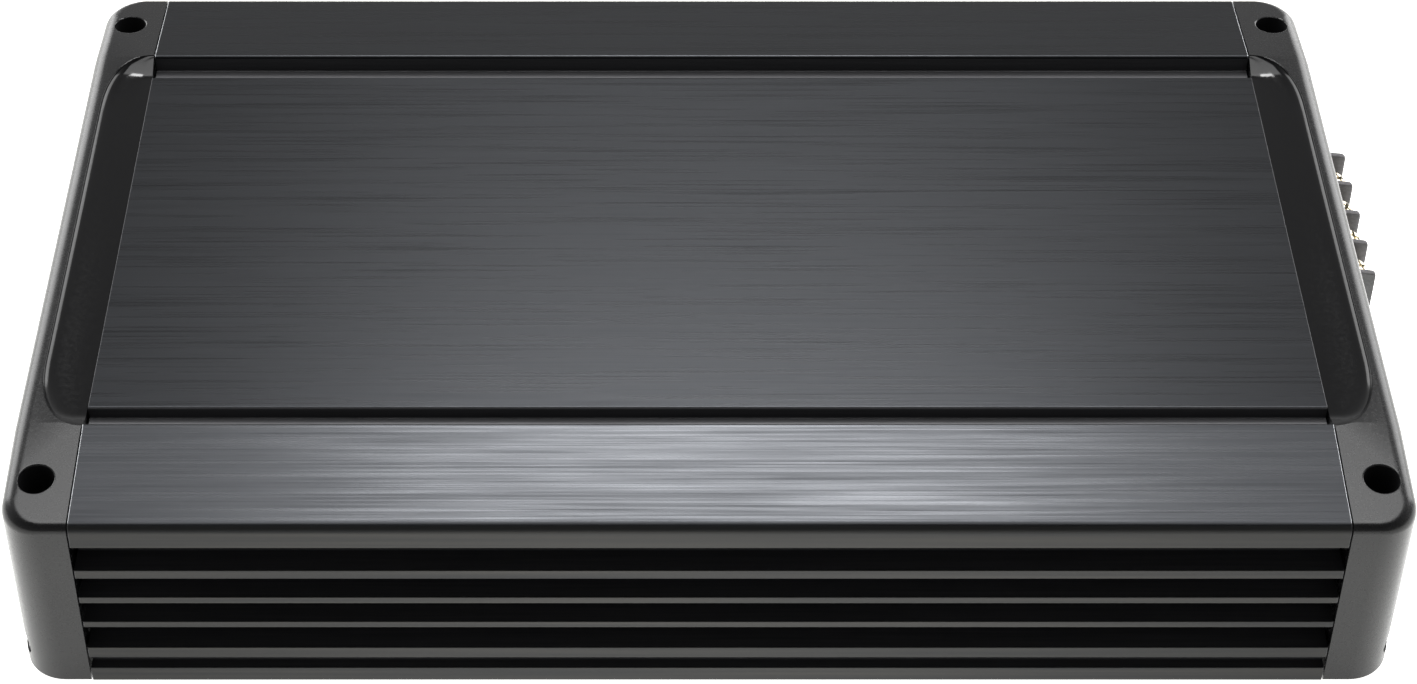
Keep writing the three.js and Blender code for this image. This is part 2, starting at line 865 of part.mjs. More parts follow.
function speakerSocket() {
  const halfHeight = speakerHeight / 2;
  const shell = box(
    speakerBack,
    speakerFront,
    speakerLow,
    speakerLow + speakerWidth,
    speakerCentreZ - halfHeight,
    speakerCentreZ + halfHeight,
  );
  const cavity = box(
    speakerFront - speakerCavityDepth,
    speakerFront + overlap,
    speakerLow + speakerWall,
    speakerLow + speakerWidth - speakerWall,
    speakerCentreZ - halfHeight + speakerWall,
    speakerCentreZ + halfHeight - speakerWall,
  );
  const pinHole = speakerPinSize / 2 + fitGap;
  const holes = [];
  for (let i = 0; i < speakerPins; i += 1) {
    const y = speakerPinY(i);
    holes.push(
      box(
        speakerBack - overlap,
        speakerFront,
        y - pinHole,
        y + pinHole,
        speakerCentreZ - pinHole,
        speakerCentreZ + pinHole,
      ),
    );
  }
  return cut(shell, cavity, ...holes);
}

function speakerPin(index) {
  const y = speakerPinY(index);
  const half = speakerPinSize / 2;
  return box(
    speakerBack - speakerPinTail,
    speakerFront - speakerCavityDepth + speakerPinReach,
    y - half,
    y + half,
    speakerCentreZ - half,
    speakerCentreZ + half,
  );
}

// ---------------------------------------------------------------- end panels

function sheetBlank(side) {
  const [from, to] = side > 0 ? [sheetInner, sheetOuter] : [-sheetOuter, -sheetInner];
  const half = pocketHalfWidth - fitGap;
  return box(from, to, -half, half, capFloor + fitGap, pocketTop - fitGap);
}

function throughSheet(side) {
  const from = sheetInner - overlap;
  const to = sheetOuter + overlap;
  return side > 0 ? [from, to] : [-to, -from];
}

function sheetHole(side, y0, y1, z0, z1) {
  const [from, to] = throughSheet(side);
  return box(from, to, y0 - fitGap, y1 + fitGap, z0 - fitGap, z1 + fitGap);
}

function sheetRoundHole(side, y, z, radius) {
  const [from, to] = throughSheet(side);
  return rod("x", [y, z], radius + fitGap, from, to, medium);
}

function endPanelRight() {
  const tailLow = terminalLow + terminalTailTrim;
  const tailHigh = terminalHigh - terminalTailTrim;
  const fuseHalfZ = fuseWidth / 2 + fitGap + fuseHolderWall;
  const speakerHalfZ = speakerHeight / 2;
  return cut(
    sheetBlank(1),
    sheetHole(1, tailLow, tailHigh, onBoard, onBoard + terminalTailHeight),
    sheetHole(
      1,
      fuseLow,
      fuseLow + fuseHolderWidth,
      fuseCentreZ - fuseHalfZ,
      fuseCentreZ + fuseHalfZ,
    ),
    sheetHole(
      1,
      speakerLow,
      speakerLow + speakerWidth,
      speakerCentreZ - speakerHalfZ,
      speakerCentreZ + speakerHalfZ,
    ),
  );
}

function endPanelLeft() {
  const holes = [];
  for (const y of jackColumns) {
    for (const z of jackRows) holes.push(sheetRoundHole(-1, y, z, jackRadius));
  }
  for (const control of controls) {
    holes.push(sheetRoundHole(-1, control.y, controlRow, bushingRadius));
  }
  for (const { y } of switches) {
    const halfSlot = leverWidth / 2 + switchTravel;
    const halfHeight = leverHeight / 2;
    holes.push(
      sheetHole(-1, y - halfSlot, y + halfSlot, controlRow - halfHeight, controlRow + halfHeight),
    );
  }
  for (const { lift } of lights) {
    holes.push(sheetRoundHole(-1, lightY, onBoard + lift, lightRadius));
  }
  return cut(sheetBlank(-1), ...holes);
}

// ---------------------------------------------------------------- input end

function jackBlock() {
  const low = Math.min(...jackColumns) - jackBlockMargin;
  const high = Math.max(...jackColumns) + jackBlockMargin;
  const block = box(
    -behindSheet,
    -behindSheet + jackBlockLength,
    low,
    high,
    onBoard,
    Math.max(...jackRows) + jackBlockMargin,
  );
  const holes = [];
  const rootStart = -behindSheet - overlap;
  const rootEnd = -behindSheet + jackSeatDepth + fitGap;
  for (const y of jackColumns) {
    for (const z of jackRows) {
      holes.push(rod("x", [y, z], jackRadius + fitGap, rootStart, rootEnd));
    }
  }
  return cut(block, ...holes);
}

// A jack's barrel with its insulating core, which carries the hole for the plug's pin.
function jack(y, z) {
  const tip = -(sheetOuter + jackReach);
  const root = -behindSheet + jackSeatDepth;
  const ring = cut(
    rod("x", [y, z], jackRadius, tip, root),
    rod("x", [y, z], jackRadius - jackWall, tip - overlap, root - jackRootThickness),
  );
  const coreEnd = root - jackRootThickness / 2;
  const core = rod("x", [y, z], jackCoreRadius, tip + jackCoreSetback, coreEnd);
  const pinHole = rod(
    "x",
    [y, z],
    jackPinHoleRadius,
    tip - overlap,
    tip + jackCoreSetback + jackPinHoleDepth,
    coarse,
  );
  return cut(join(ring, core), pinHole);
}

function potBody({ y }) {
  const half = potBodySize / 2;
  const body = box(
    -behindSheet,
    -behindSheet + potBodyLength,
    y - half,
    y + half,
    controlRow - half,
    controlRow + half,
  );
  const centre = [y, controlRow];
  const face = -(sheetOuter + bushingReach);
  const bushing = rod("x", centre, bushingRadius, face, -behindSheet + overlap);
  const bore = rod(
    "x",
    centre,
    bushingBore,
    face - overlap,
    face + stemLength + turnGap,
    coarse,
  );
  return cut(join(body, bushing), bore);
}

function knob({ y }) {
  const centre = [y, controlRow];
  const back = -(sheetOuter + bushingReach + turnGap);
  const front = back - knobLength;
  let made = join(
    rod("x", centre, knobRadius * knobTaper, front, back, medium, knobRadius),
    rod("x", centre, stemRadius, front + overlap, back + stemLength, coarse),
  );
  for (let i = 0; i < knobFlutes; i += 1) {
    const angle = (2 * Math.PI * i) / knobFlutes;
    const flute = [
      y + knobRadius * Math.cos(angle),
      controlRow + knobRadius * Math.sin(angle),
    ];
    made = cut(made, rod("x", flute, fluteRadius, front - overlap, back + overlap, tiny));
  }
  const pointer = box(
    front - overlap,
    front + knobSlotDepth,
    y - knobSlotWidth / 2,
    y + knobSlotWidth / 2,
    controlRow,
    controlRow + knobRadius + overlap,
  );
  return cut(made, pointer);
}

function switchBody({ y }) {
  const halfWidth = switchBodyWidth / 2;
  const halfHeight = switchBodyHeight / 2;
  const body = box(
    -behindSheet,
    -behindSheet + switchBodyLength,
    y - halfWidth,
    y + halfWidth,
    controlRow - halfHeight,
    controlRow + halfHeight,
  );
  const halfSlot = leverWidth / 2 + switchTravel + turnGap;
  const slot = box(
    -behindSheet - overlap,
    -behindSheet + leverRoot + turnGap,
    y - halfSlot,
    y + halfSlot,
    controlRow - leverHeight / 2 - turnGap,
    controlRow + leverHeight / 2 + turnGap,
  );
  return cut(body, slot);
}

function switchLever({ y }) {
  return prism(
    "x",
    roundedRectangle(
      y - leverWidth / 2,
      y + leverWidth / 2,
      controlRow - leverHeight / 2,
      controlRow + leverHeight / 2,
      leverCorner,
    ),
    -(sheetOuter + leverReach),
    -behindSheet + leverRoot,
    cornerSteps,
  );
}

function light({ lift }) {
  const centre = [lightY, onBoard + lift];
  const tip = -(sheetOuter + lightReach);
  const shoulder = tip + lightDome.shoulderHeight;
  const base = tip + lightDome.height;
  const tipRadius = lightRadius * lightDome.tipShare;
  const shoulderRadius = lightRadius * lightDome.shoulderShare;
  const flangeRadius = lightFlangeRadius + lightFlangeLip;
  return join(
    rod("x", centre, tipRadius, tip, shoulder, coarse, shoulderRadius),
    rod("x", centre, shoulderRadius, shoulder, base, coarse, lightRadius),
    rod("x", centre, lightRadius, base, -behindSheet + overlap, coarse),
    rod("x", centre, flangeRadius, -behindSheet, -behindSheet + lightLength, coarse),
  );
}

// ---------------------------------------------------------------- inside pieces

function circuitBoard() {
  return box(
    -boardHalfLength,
    boardHalfLength,
    -boardHalfWidth,
    boardHalfWidth,
    boardBottom,
    boardTop,
  );
}

function powerTransformer() {
  const { x, y, outer, inner, height, corner } = transformer;
  const section = roundedRectangle(inner, outer, onBoard, onBoard + height, corner);
  const points = section.getPoints(cornerSteps);
  points.push(points[0].clone());
  const ring = new THREE.LatheGeometry(points, medium).rotateX(Math.PI / 2);
  ring.translate(x, y, 0);
  return solid(ring);
}

function filterCapacitor({ x, y }) {
  const top = panelCeiling - capacitorHeadroom;
  const profile = [
    [0, onBoard],
    [capacitorRadius, onBoard],
    [capacitorRadius, onBoard + capacitorCrimp.low],
    [capacitorRadius - capacitorCrimp.depth, onBoard + capacitorCrimp.middle],
    [capacitorRadius, onBoard + capacitorCrimp.high],
    [capacitorRadius, top - capacitorEdge],
    [capacitorRadius - capacitorEdge, top],
    [0, top],
  ].map(([r, z]) => new THREE.Vector2(r, z));
  const can = new THREE.LatheGeometry(profile, medium).rotateX(Math.PI / 2);
  can.translate(x, y, 0);
  return solid(can);
}

function transistorClamp(side) {
  const outer = side * (halfDepth - wallInset - clampBarWallGap);
  const inner = outer - side * clampBarThickness;
  const end = halfLength - clampBarEndInset;
  const low = onBoard + clampBarLift;
  return box(-end, end, Math.min(outer, inner), Math.max(outer, inner), low, low + clampBarHeight);
}

// ---------------------------------------------------------------- put together

add("heatsink_housing", housing(), finishes.anodised);
add("bottom_cover", bottomCover(), finishes.plate);
add("end_cap_right", endCap(), finishes.moulded);
add("end_cap_left", endCap(), finishes.moulded).rotation.z = Math.PI;
add("end_panel_right", endPanelRight(), finishes.sheet);
add("end_panel_left", endPanelLeft(), finishes.sheet);
add("main_circuit_board", circuitBoard(), finishes.laminate);

coverScrewPlaces().forEach((place, i) => {
  add(`bottom_screw_${i + 1}`, coverScrew(place), finishes.blackScrew);
});
for (const side of [-1, 1]) {
  const place = side < 0 ? "front" : "back";
  add(`end_cap_screw_right_${place}`, capScrew(side), finishes.blackScrew);
  add(`end_cap_screw_left_${place}`, capScrew(-side), finishes.blackScrew).rotation.z = Math.PI;
}

add("power_terminal_block", terminalBlock(), finishes.phenolic);
for (let i = 0; i < terminalWays; i += 1) {
  const seat = placeAtSeat(wayY(i));
  add(`power_clamp_${i + 1}`, powerClamp(), finishes.nickel, seat);
  const screw = add(`power_screw_${i + 1}`, powerScrew(), finishes.nickel, seat);
  screw.rotation.z = powerScrewTurns.first + powerScrewTurns.step * i;
}

add("fuse_holder", fuseHolder(), finishes.housingPlastic);
for (let i = 0; i < fuseWays; i += 1) add(`fuse_${i + 1}`, fuse(i), finishes.fuseBody);

add("speaker_socket", speakerSocket(), finishes.housingPlastic);
for (let i = 0; i < speakerPins; i += 1) {
  add(`speaker_pin_${i + 1}`, speakerPin(i), finishes.nickel);
}

add("input_jack_block", jackBlock(), finishes.housingPlastic);
jackColumns.forEach((y, column) => {
  jackRows.forEach((z, row) => {
    add(`input_jack_${column * jackRows.length + row + 1}`, jack(y, z), finishes.nickel);
  });
});

for (const control of controls) {
  add(`${control.name}_pot`, potBody(control), finishes.housingPlastic);
  add(`${control.name}_knob`, knob(control), finishes.housingPlastic);
}
for (const item of switches) {
  add(item.name, switchBody(item), finishes.housingPlastic);
  add(`${item.name}_lever`, switchLever(item), finishes.housingPlastic);
}
for (const item of lights) {
  add(item.name, light(item), { color: item.color, roughness: 0.2, metalness: 0 });
}

add("power_transformer", powerTransformer(), finishes.winding);
capacitors.forEach((place, i) => {
  add(`filter_capacitor_${i + 1}`, filterCapacitor(place), finishes.sleeve);
});
add("transistor_clamp_front", transistorClamp(-1), finishes.aluminium);
add("transistor_clamp_back", transistorClamp(1), finishes.aluminium);

export default group;
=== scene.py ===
"""Looks of a four-channel car amplifier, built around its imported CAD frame.

Sizes in the classes are millimetres; meshes are turned to metres as they are finished.
X runs along the housing, the power end is at +X, the input end at -X, the front at -Y.
"""

from __future__ import annotations

import logging
import math
from dataclasses import dataclass, field
from enum import Enum
from typing import Callable, Sequence, Union

import bmesh
import bpy
from mathutils import Matrix, Vector

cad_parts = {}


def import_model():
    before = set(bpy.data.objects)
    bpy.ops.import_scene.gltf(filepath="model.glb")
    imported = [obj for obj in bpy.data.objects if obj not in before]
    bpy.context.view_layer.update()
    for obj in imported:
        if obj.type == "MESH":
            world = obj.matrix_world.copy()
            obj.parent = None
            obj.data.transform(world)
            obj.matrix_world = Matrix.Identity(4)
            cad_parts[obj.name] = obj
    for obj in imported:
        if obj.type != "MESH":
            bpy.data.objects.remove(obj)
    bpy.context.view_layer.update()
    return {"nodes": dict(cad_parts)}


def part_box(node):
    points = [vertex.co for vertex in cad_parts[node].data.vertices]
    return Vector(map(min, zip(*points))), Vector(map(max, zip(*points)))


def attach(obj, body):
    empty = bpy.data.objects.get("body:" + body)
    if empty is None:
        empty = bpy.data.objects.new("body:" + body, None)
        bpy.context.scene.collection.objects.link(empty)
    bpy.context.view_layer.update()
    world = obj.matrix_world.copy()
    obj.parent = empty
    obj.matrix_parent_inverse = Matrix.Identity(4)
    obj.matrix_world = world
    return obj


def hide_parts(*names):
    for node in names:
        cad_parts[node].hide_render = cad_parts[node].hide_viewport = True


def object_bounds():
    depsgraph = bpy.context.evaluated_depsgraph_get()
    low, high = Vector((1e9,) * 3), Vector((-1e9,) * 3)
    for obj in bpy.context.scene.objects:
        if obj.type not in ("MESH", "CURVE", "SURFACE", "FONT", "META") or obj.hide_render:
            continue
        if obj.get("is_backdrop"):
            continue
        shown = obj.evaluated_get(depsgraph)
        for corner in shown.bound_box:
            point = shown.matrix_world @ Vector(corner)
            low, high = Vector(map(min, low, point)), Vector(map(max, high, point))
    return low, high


log = logging.getLogger("amplifier")

MM = 0.001
SHARP_ANGLE = math.radians(32)
Outline = list[tuple[float, float]]
Feed = Union[bpy.types.NodeSocket, float, int, tuple, bool]


# ------------------------------------------------------------------ outlines


def circle(radius: float, facets: int, a: float = 0.0, b: float = 0.0) -> Outline:
    """A circle's outline, counter-clockwise, about (a, b)."""
    turns = [2 * math.pi * i / facets for i in range(facets)]
    return [(a + radius * math.cos(t), b + radius * math.sin(t)) for t in turns]


def softened(corners: Sequence[tuple[float, float, float]], steps: int = 4) -> Outline:
    """Rounds a polygon's corners.

    Args:
        corners: (a, b, radius) of each corner, in order round the polygon.
        steps: number of segments that each rounded corner gets.

    Returns:
        The outline with an arc in place of each corner.
    """
    made: Outline = []
    count = len(corners)
    for i, (a, b, radius) in enumerate(corners):
        here = Vector((a, b))
        before = Vector(corners[i - 1][:2]) - here
        after = Vector(corners[(i + 1) % count][:2]) - here
        if radius <= 0:
            made.append((a, b))
            continue
        half = before.angle(after) / 2
        reach = min(radius / math.tan(half), before.length * 0.49, after.length * 0.49)
        start = here + before.normalized() * reach
        end = here + after.normalized() * reach
        true_radius = reach * math.tan(half)
        bisector = (before.normalized() + after.normalized()).normalized()
        centre = here + bisector * (true_radius / math.sin(half))
        first = (start - centre).normalized()
        last = (end - centre).normalized()
        sweep = first.angle_signed(last)
        for step in range(steps + 1):
            turn = Matrix.Rotation(-sweep * step / steps, 2)
            made.append(tuple(centre + turn @ first * true_radius))
    return made


def rectangle(a0: float, a1: float, b0: float, b1: float, radius: float, steps: int = 4) -> Outline:
    """A rectangle's outline with rounded corners, counter-clockwise."""
    return softened([(a0, b0, radius), (a1, b0, radius), (a1, b1, radius), (a0, b1, radius)], steps)


def inset(outline: Outline, distance: float) -> Outline:
    """Moves an outline inwards, corner by corner.

    Args:
        outline: a closed outline, in either direction.
        distance: how far inwards; a negative distance moves it outwards.

    Returns:
        The moved outline, with as many points.
    """
    count = len(outline)
    area = sum(
        outline[i - 1][0] * outline[i][1] - outline[i][0] * outline[i - 1][1]
        for i in range(count)
    )
    sign = 1.0 if area > 0 else -1.0
    made: Outline = []
    for i in range(count):
        here = Vector(outline[i])
        back = (here - Vector(outline[i - 1])).normalized()
        ahead = (Vector(outline[(i + 1) % count]) - here).normalized()
        normals = [Vector((-d.y, d.x)) * sign for d in (back, ahead)]
        middle = normals[0] + normals[1]
        middle.normalize()
        stretch = max(middle.dot(normals[0]), 0.5)
        made.append(tuple(here + middle * (distance / stretch)))
    return made


class Axis(Enum):
    """The direction that an outline is swept along; the value orders (a, b, along) as x, y, z."""

    X = (2, 0, 1)
    Y = (1, 2, 0)
    Z = (0, 1, 2)

    def point(self, a: float, b: float, along: float) -> Vector:
        """The point at (a, b) across the axis and a place along it."""
        parts = (a, b, along)
        return Vector([parts[i] for i in self.value])

    def ring(self, outline: Outline, along: float) -> list[Vector]:
        """The outline's points at a place along the axis."""
        return [self.point(a, b, along) for a, b in outline]


# ------------------------------------------------------------------ meshes


class Shape:
    """A closed mesh in the making, in millimetres."""

    def __init__(self) -> None:
        """Starts with no faces."""
        self.mesh = bmesh.new()

    def loft(
        self,
        rings: Sequence[Sequence[Vector]],
        finish: int | Callable[[Vector], int] = 0,
        caps: bool = True,
    ) -> "Shape":
        """Joins rings of points into a skin.

        Args:
            rings: rings with the same number of points each, in order.
            finish: the finish's place in the piece's list, or a function of a face's middle.
            caps: closes the first and last ring with a flat face.

        Returns:
            This shape.
        """
        rows = [[self.mesh.verts.new(p) for p in ring] for ring in rings]
        count = len(rows[0])
        made = []
        for low, high in zip(rows, rows[1:]):
            for i in range(count):
                j = (i + 1) % count
                made.append(self.mesh.faces.new((low[i], low[j], high[j], high[i])))
        if caps:
            made.append(self.mesh.faces.new(list(reversed(rows[0]))))
            made.append(self.mesh.faces.new(rows[-1]))
        for face in made:
            middle = face.calc_center_median()
            face.material_index = finish(middle) if callable(finish) else finish
        return self

    def prism(
        self,
        axis: Axis,
        outline: Outline,
        start: float,
        end: float,
        edge: float = 0.0,
        finish: int | Callable[[Vector], int] = 0,
    ) -> "Shape":
        """Sweeps an outline along an axis.

        Args:
            axis: the direction of the sweep.
            outline: the closed outline across the axis.
            start: where the sweep starts along the axis.
            end: where it ends.
            edge: radius of the softened edges at both ends.
            finish: as in loft.

        Returns:
            This shape.
        """
        if edge <= 0:
            return self.loft([axis.ring(outline, start), axis.ring(outline, end)], finish)
        turns = [math.radians(t) for t in (90, 60, 30, 0)]
        steps = [(edge * (1 - math.cos(t)), edge * (1 - math.sin(t))) for t in turns]
        rings = [axis.ring(inset(outline, inward), start + along) for inward, along in steps]
        steps.reverse()
        rings += [axis.ring(inset(outline, inward), end - along) for inward, along in steps]
        return self.loft(rings, finish)

    def turned(
        self,
        axis: Axis,
        centre: tuple[float, float],
        profile: Sequence[tuple[float, float]],
        facets: int = 32,
        finish: int = 0,
    ) -> "Shape":
        """Turns a profile of (radius, place along the axis) about the axis, closed at its ends."""
        rings = [axis.ring(circle(r, facets, *centre), along) for r, along in profile]
        return self.loft(rings, finish)

    def moved(self, matrix: Matrix) -> "Shape":
        """Moves every point made so far."""
        bmesh.ops.transform(self.mesh, matrix=matrix, verts=self.mesh.verts)
        return self

    def thing(self, name: str) -> bpy.types.Object:
        """Turns the shape into an object in metres, faces outwards."""
        bmesh.ops.remove_doubles(self.mesh, verts=self.mesh.verts, dist=1e-5)
        bmesh.ops.recalc_face_normals(self.mesh, faces=self.mesh.faces)
        bmesh.ops.scale(self.mesh, vec=(MM, MM, MM), verts=self.mesh.verts)
        data = bpy.data.meshes.new(name)
        self.mesh.to_mesh(data)
        self.mesh.free()
        made = bpy.data.objects.new(name, data)
        bpy.context.scene.collection.objects.link(made)
        return made


class Cut(Enum):
    """How a second shape changes a piece."""

    AWAY = "DIFFERENCE"
    ADD = "UNION"


def worked(piece: bpy.types.Object, shapes: Sequence[tuple[Cut, Shape]]) -> None:
    """Cuts shapes away from a piece or adds them to it, and keeps the result as its mesh.

    Args:
        piece: the piece, with its finishes already in place.
        shapes: each shape and what it does; a shape's face finishes count in the piece's list.
    """
    tools = []
    for cut, shape in shapes:
        tool = shape.thing(f"{piece.name}_tool")
        for material in piece.data.materials:
            tool.data.materials.append(material)
        change = piece.modifiers.new("cut", "BOOLEAN")
        change.operation = cut.value
        change.solver = "EXACT"
        change.material_mode = "INDEX"
        change.object = tool
        tools.append(tool)
    bpy.context.view_layer.update()
    seen = piece.evaluated_get(bpy.context.evaluated_depsgraph_get())
    made = bpy.data.meshes.new_from_object(seen)
    piece.modifiers.clear()
    old, piece.data = piece.data, made
    bpy.data.meshes.remove(old)
    for tool in tools:
        bpy.data.meshes.remove(tool.data)


@dataclass
class Piece:
    """One visible piece: its mesh, finishes, body and the CAD nodes that it stands for."""

    name: str
    shape: Shape
    finishes: Sequence["Finish"]
    replaces: Sequence[str] = ()
    slot: str = ""
    body: str = "chassis"
    changes: Sequence[tuple[Cut, Shape]] = ()

    def make(self) -> bpy.types.Object:
        """Builds the object, softens its shading and ties it to its body."""
        made = self.shape.thing(self.name)
        for finish in self.finishes:
            made.data.materials.append(finish.material())
        if self.changes:
            worked(made, self.changes)
        made.data.polygons.foreach_set("use_smooth", [True] * len(made.data.polygons))
        made.data.set_sharp_from_angle(angle=SHARP_ANGLE)
        weighted = made.modifiers.new("even_shading", "WEIGHTED_NORMAL")
        weighted.keep_sharp = True
        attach(made, self.body)
        if self.replaces:
            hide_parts(*self.replaces)
        return made


# ------------------------------------------------------------------ finishes


def linear(colour: str) -> tuple[float, float, float, float]:
    """An sRGB hex colour as linear values with full alpha."""
    parts = [int(colour[i : i + 2], 16) / 255 for i in (1, 3, 5)]
    turned = [c / 12.92 if c <= 0.04045 else ((c + 0.055) / 1.055) ** 2.4 for c in parts]
    return (*turned, 1.0)


def add_node(
    tree: bpy.types.NodeTree, kind: str, feeds: dict[str | int, Feed] | None = None, **settings
) -> bpy.types.Node:
    """Adds a node with its settings and links.

    Args:
        tree: the node tree.
        kind: the node's type name.
        feeds: what goes to each input, by name or number: an output socket or a plain value.
        **settings: the node's own properties.

    Returns:
        The new node.
    """
    made = tree.nodes.new(kind)
    for name, value in settings.items():
        setattr(made, name, value)
    for place, feed in (feeds or {}).items():
        if isinstance(feed, bpy.types.NodeSocket):
            tree.links.new(feed, made.inputs[place])
        else:
            made.inputs[place].default_value = feed
    return made


def combined(tree: bpy.types.NodeTree, operation: str, a: Feed, b: Feed) -> bpy.types.NodeSocket:
    """Adds a sum or product of two values."""
    return add_node(tree, "ShaderNodeMath", {0: a, 1: b}, operation=operation).outputs[0]


def ramp(
    tree: bpy.types.NodeTree, value: Feed, span: tuple[float, float], to: tuple[float, float]
) -> bpy.types.NodeSocket:
    """Adds a ramp that goes from one end of `to` to the other as a value crosses `span`."""
    feeds = {"Value": value, "From Min": span[0], "From Max": span[1]}
    feeds |= {"To Min": to[0], "To Max": to[1]}
    return add_node(tree, "ShaderNodeMapRange", feeds).outputs[0]


class Pattern(Enum):
    """The texture that a finish is made of."""

    STREAKS = "brushed or drawn lines"
    GRAIN = "fine moulded or cast grain"
    PEEL = "the soft ripple of paint"
    TURNS = "wire laid side by side"


@dataclass(frozen=True)
class Finish:
    """A real finish: its colours, gloss and the size of its grain."""

    name: str
    colour: str
    varied: str
    roughness: float
    grain: tuple[float, float, float]
    relief: float = 0.0
    pattern: Pattern = Pattern.GRAIN
    metallic: float = 0.0
    roughness_spread: float = 0.08
    ior: float = 1.5
    specular: float = 0.5
    coat: float = 0.0
    clear: float = 0.0
    # Emission; only the lenses use it, as painted light.
    glow: float = 0.0
    patch: float = 40.0
    patch_strength: float = 0.35
    spread_across: float = 0.0

    def material(self) -> bpy.types.Material:
        """The finish's Blender material, made once."""
        found = bpy.data.materials.get(self.name)
        if found:
            return found
        made = bpy.data.materials.new(self.name)
        made.use_nodes = True
        tree = made.node_tree
        tree.nodes.clear()
        grain, broad = self._textures(tree)
        weight = combined(tree, "MULTIPLY", broad, self.patch_strength)
        rest = combined(tree, "MULTIPLY", grain, 1 - self.patch_strength)
        both = combined(tree, "ADD", weight, rest)
        span = (0.3, 0.7)
        contrast = ramp(tree, both, span, (0.0, 1.0))
        colour = add_node(
            tree,
            "ShaderNodeMix",
            {0: contrast, 6: linear(self.colour), 7: linear(self.varied)},
            data_type="RGBA",
        )
        dull = self.roughness + self.roughness_spread
        gloss = ramp(tree, both, span, (dull, self.roughness - self.roughness_spread))
        shader = add_node(
            tree,
            "ShaderNodeBsdfPrincipled",
            {
                "Base Color": colour.outputs[2],
                "Roughness": gloss,
                "Metallic": self.metallic,
                "IOR": self.ior,
                "Specular IOR Level": self.specular,
                "Coat Weight": self.coat,
                "Transmission Weight": self.clear,
                "Emission Color": linear(self.varied),
                "Emission Strength": self.glow,
            },
        )
        if self.relief > 0:
            bump = add_node(
                tree,
                "ShaderNodeBump",
                {"Height": grain, "Distance": self.relief * MM, "Strength": 1.0},
            )
            tree.links.new(bump.outputs[0], shader.inputs["Normal"])
        if self.spread_across > 0:
            # The ring direction about X lies along Y on the top: across the brush lines.
            across = add_node(tree, "ShaderNodeTangent", direction_type="RADIAL", axis="X")
            tree.links.new(across.outputs[0], shader.inputs["Tangent"])
            shader.inputs["Anisotropic"].default_value = self.spread_across
        add_node(tree, "ShaderNodeOutputMaterial", {"Surface": shader.outputs[0]})
        return made

    def _textures(
        self, tree: bpy.types.NodeTree
    ) -> tuple[bpy.types.NodeSocket, bpy.types.NodeSocket]:
        """Adds the fine grain and the broad patches.

        Args:
            tree: the material's node tree.

        Returns:
            The two textures' output sockets, each from 0 to 1.
        """
        place = add_node(tree, "ShaderNodeTexCoord").outputs["Object"]
        scales = tuple(1 / (size * MM) for size in self.grain)
        fitted = add_node(tree, "ShaderNodeMapping", {"Vector": place, "Scale": scales})
        feeds = {"Vector": fitted.outputs[0], "Scale": 1.0}
        if self.pattern is Pattern.TURNS:
            grain = add_node(
                tree, "ShaderNodeTexWave", {**feeds, "Distortion": 0.6, "Detail": 1.0}
            ).outputs["Fac"]
        else:
            detail = {Pattern.STREAKS: 3.0, Pattern.GRAIN: 2.0, Pattern.PEEL: 0.0}[self.pattern]
            grain = add_node(tree, "ShaderNodeTexNoise", {**feeds, "Detail": detail}).outputs[0]
        stretch = (0.045, 1.0, 1.0) if self.pattern is Pattern.STREAKS else (1.0, 1.0, 1.0)
        size = tuple(part / (self.patch * MM) for part in stretch)
        wide = add_node(tree, "ShaderNodeMapping", {"Vector": place, "Scale": size})
        broad = add_node(
            tree, "ShaderNodeTexNoise", {"Vector": wide.outputs[0], "Scale": 1.0, "Detail": 3.0}
        ).outputs[0]
        return grain, broad


# Brushed and dyed aluminium: long fine lines along the housing, a soft sheen across them.
# Real brush lines are about 0.1 mm apart; they are drawn 0.5 mm apart so that they show.
BRUSHED = Finish(
    "brushed_black_anodised_aluminium",
    "#2a2b2d",
    "#38393b",
    0.3,
    (60.0, 0.5, 0.5),
    relief=0.012,
    pattern=Pattern.STREAKS,
    metallic=1.0,
    patch=2.6,
    patch_strength=0.4,
    spread_across=0.5,
)
# The same metal as it left the extrusion die, on the ribs' tips: die lines 1 mm apart.
DRAWN = Finish(
    "extruded_black_anodised_aluminium",
    "#353637",
    "#403f3d",
    0.42,
    (120.0, 1.0, 1.0),
    relief=0.006,
    pattern=Pattern.STREAKS,
    metallic=1.0,
    patch=14.0,
)
# Inside the grooves the metal is unpolished; its grey, paler than the ribs' tips, is painted fill
# light that lifts the grooves' shade, and their depth still makes them read as near black.
GROOVE_PAINTED_FILL = Finish(
    "matt_anodised_aluminium_painted_fill_light",
    "#454547",
    "#525254",
    0.5,
    (30.0, 0.8, 0.8),
    relief=0.008,
    pattern=Pattern.STREAKS,
    metallic=0.6,
)
# Moulded ABS end caps with a satin lacquer: deep charcoal with broad soft reflections.
# The mould's spark grain is about 0.1 mm; it is drawn 0.9 mm wide so that it shows.
CAP = Finish(
    "satin_moulded_black_abs",
    "#0e0e0f",
    "#131314",
    0.26,
    (0.9, 0.9, 0.9),
    relief=0.0015,
    specular=0.45,
    roughness_spread=0.04,
)
# The trough is polished in the mould, so it is darker and glossier than the cap around it.
TROUGH = Finish(
    "polished_moulded_black_abs",
    "#0a0a0b",
    "#0e0e0f",
    0.13,
    (1.2, 1.2, 1.2),
    relief=0.001,
    specular=0.3,
    roughness_spread=0.04,
)
# Inside the corner holes nothing is polished and little light comes in.
WELL = Finish(
    "unpolished_moulded_black_abs", "#161617", "#1e1e20", 0.5, (0.8, 0.8, 0.8), relief=0.01
)
# Powder-painted steel sheet: an orange-peel ripple about 1.5 mm across, semi-matt.
PAINTED = Finish(
    "powder_painted_black_steel",
    "#19191b",
    "#222225",
    0.45,
    (1.5, 1.5, 1.5),
    relief=0.02,
    pattern=Pattern.PEEL,
)
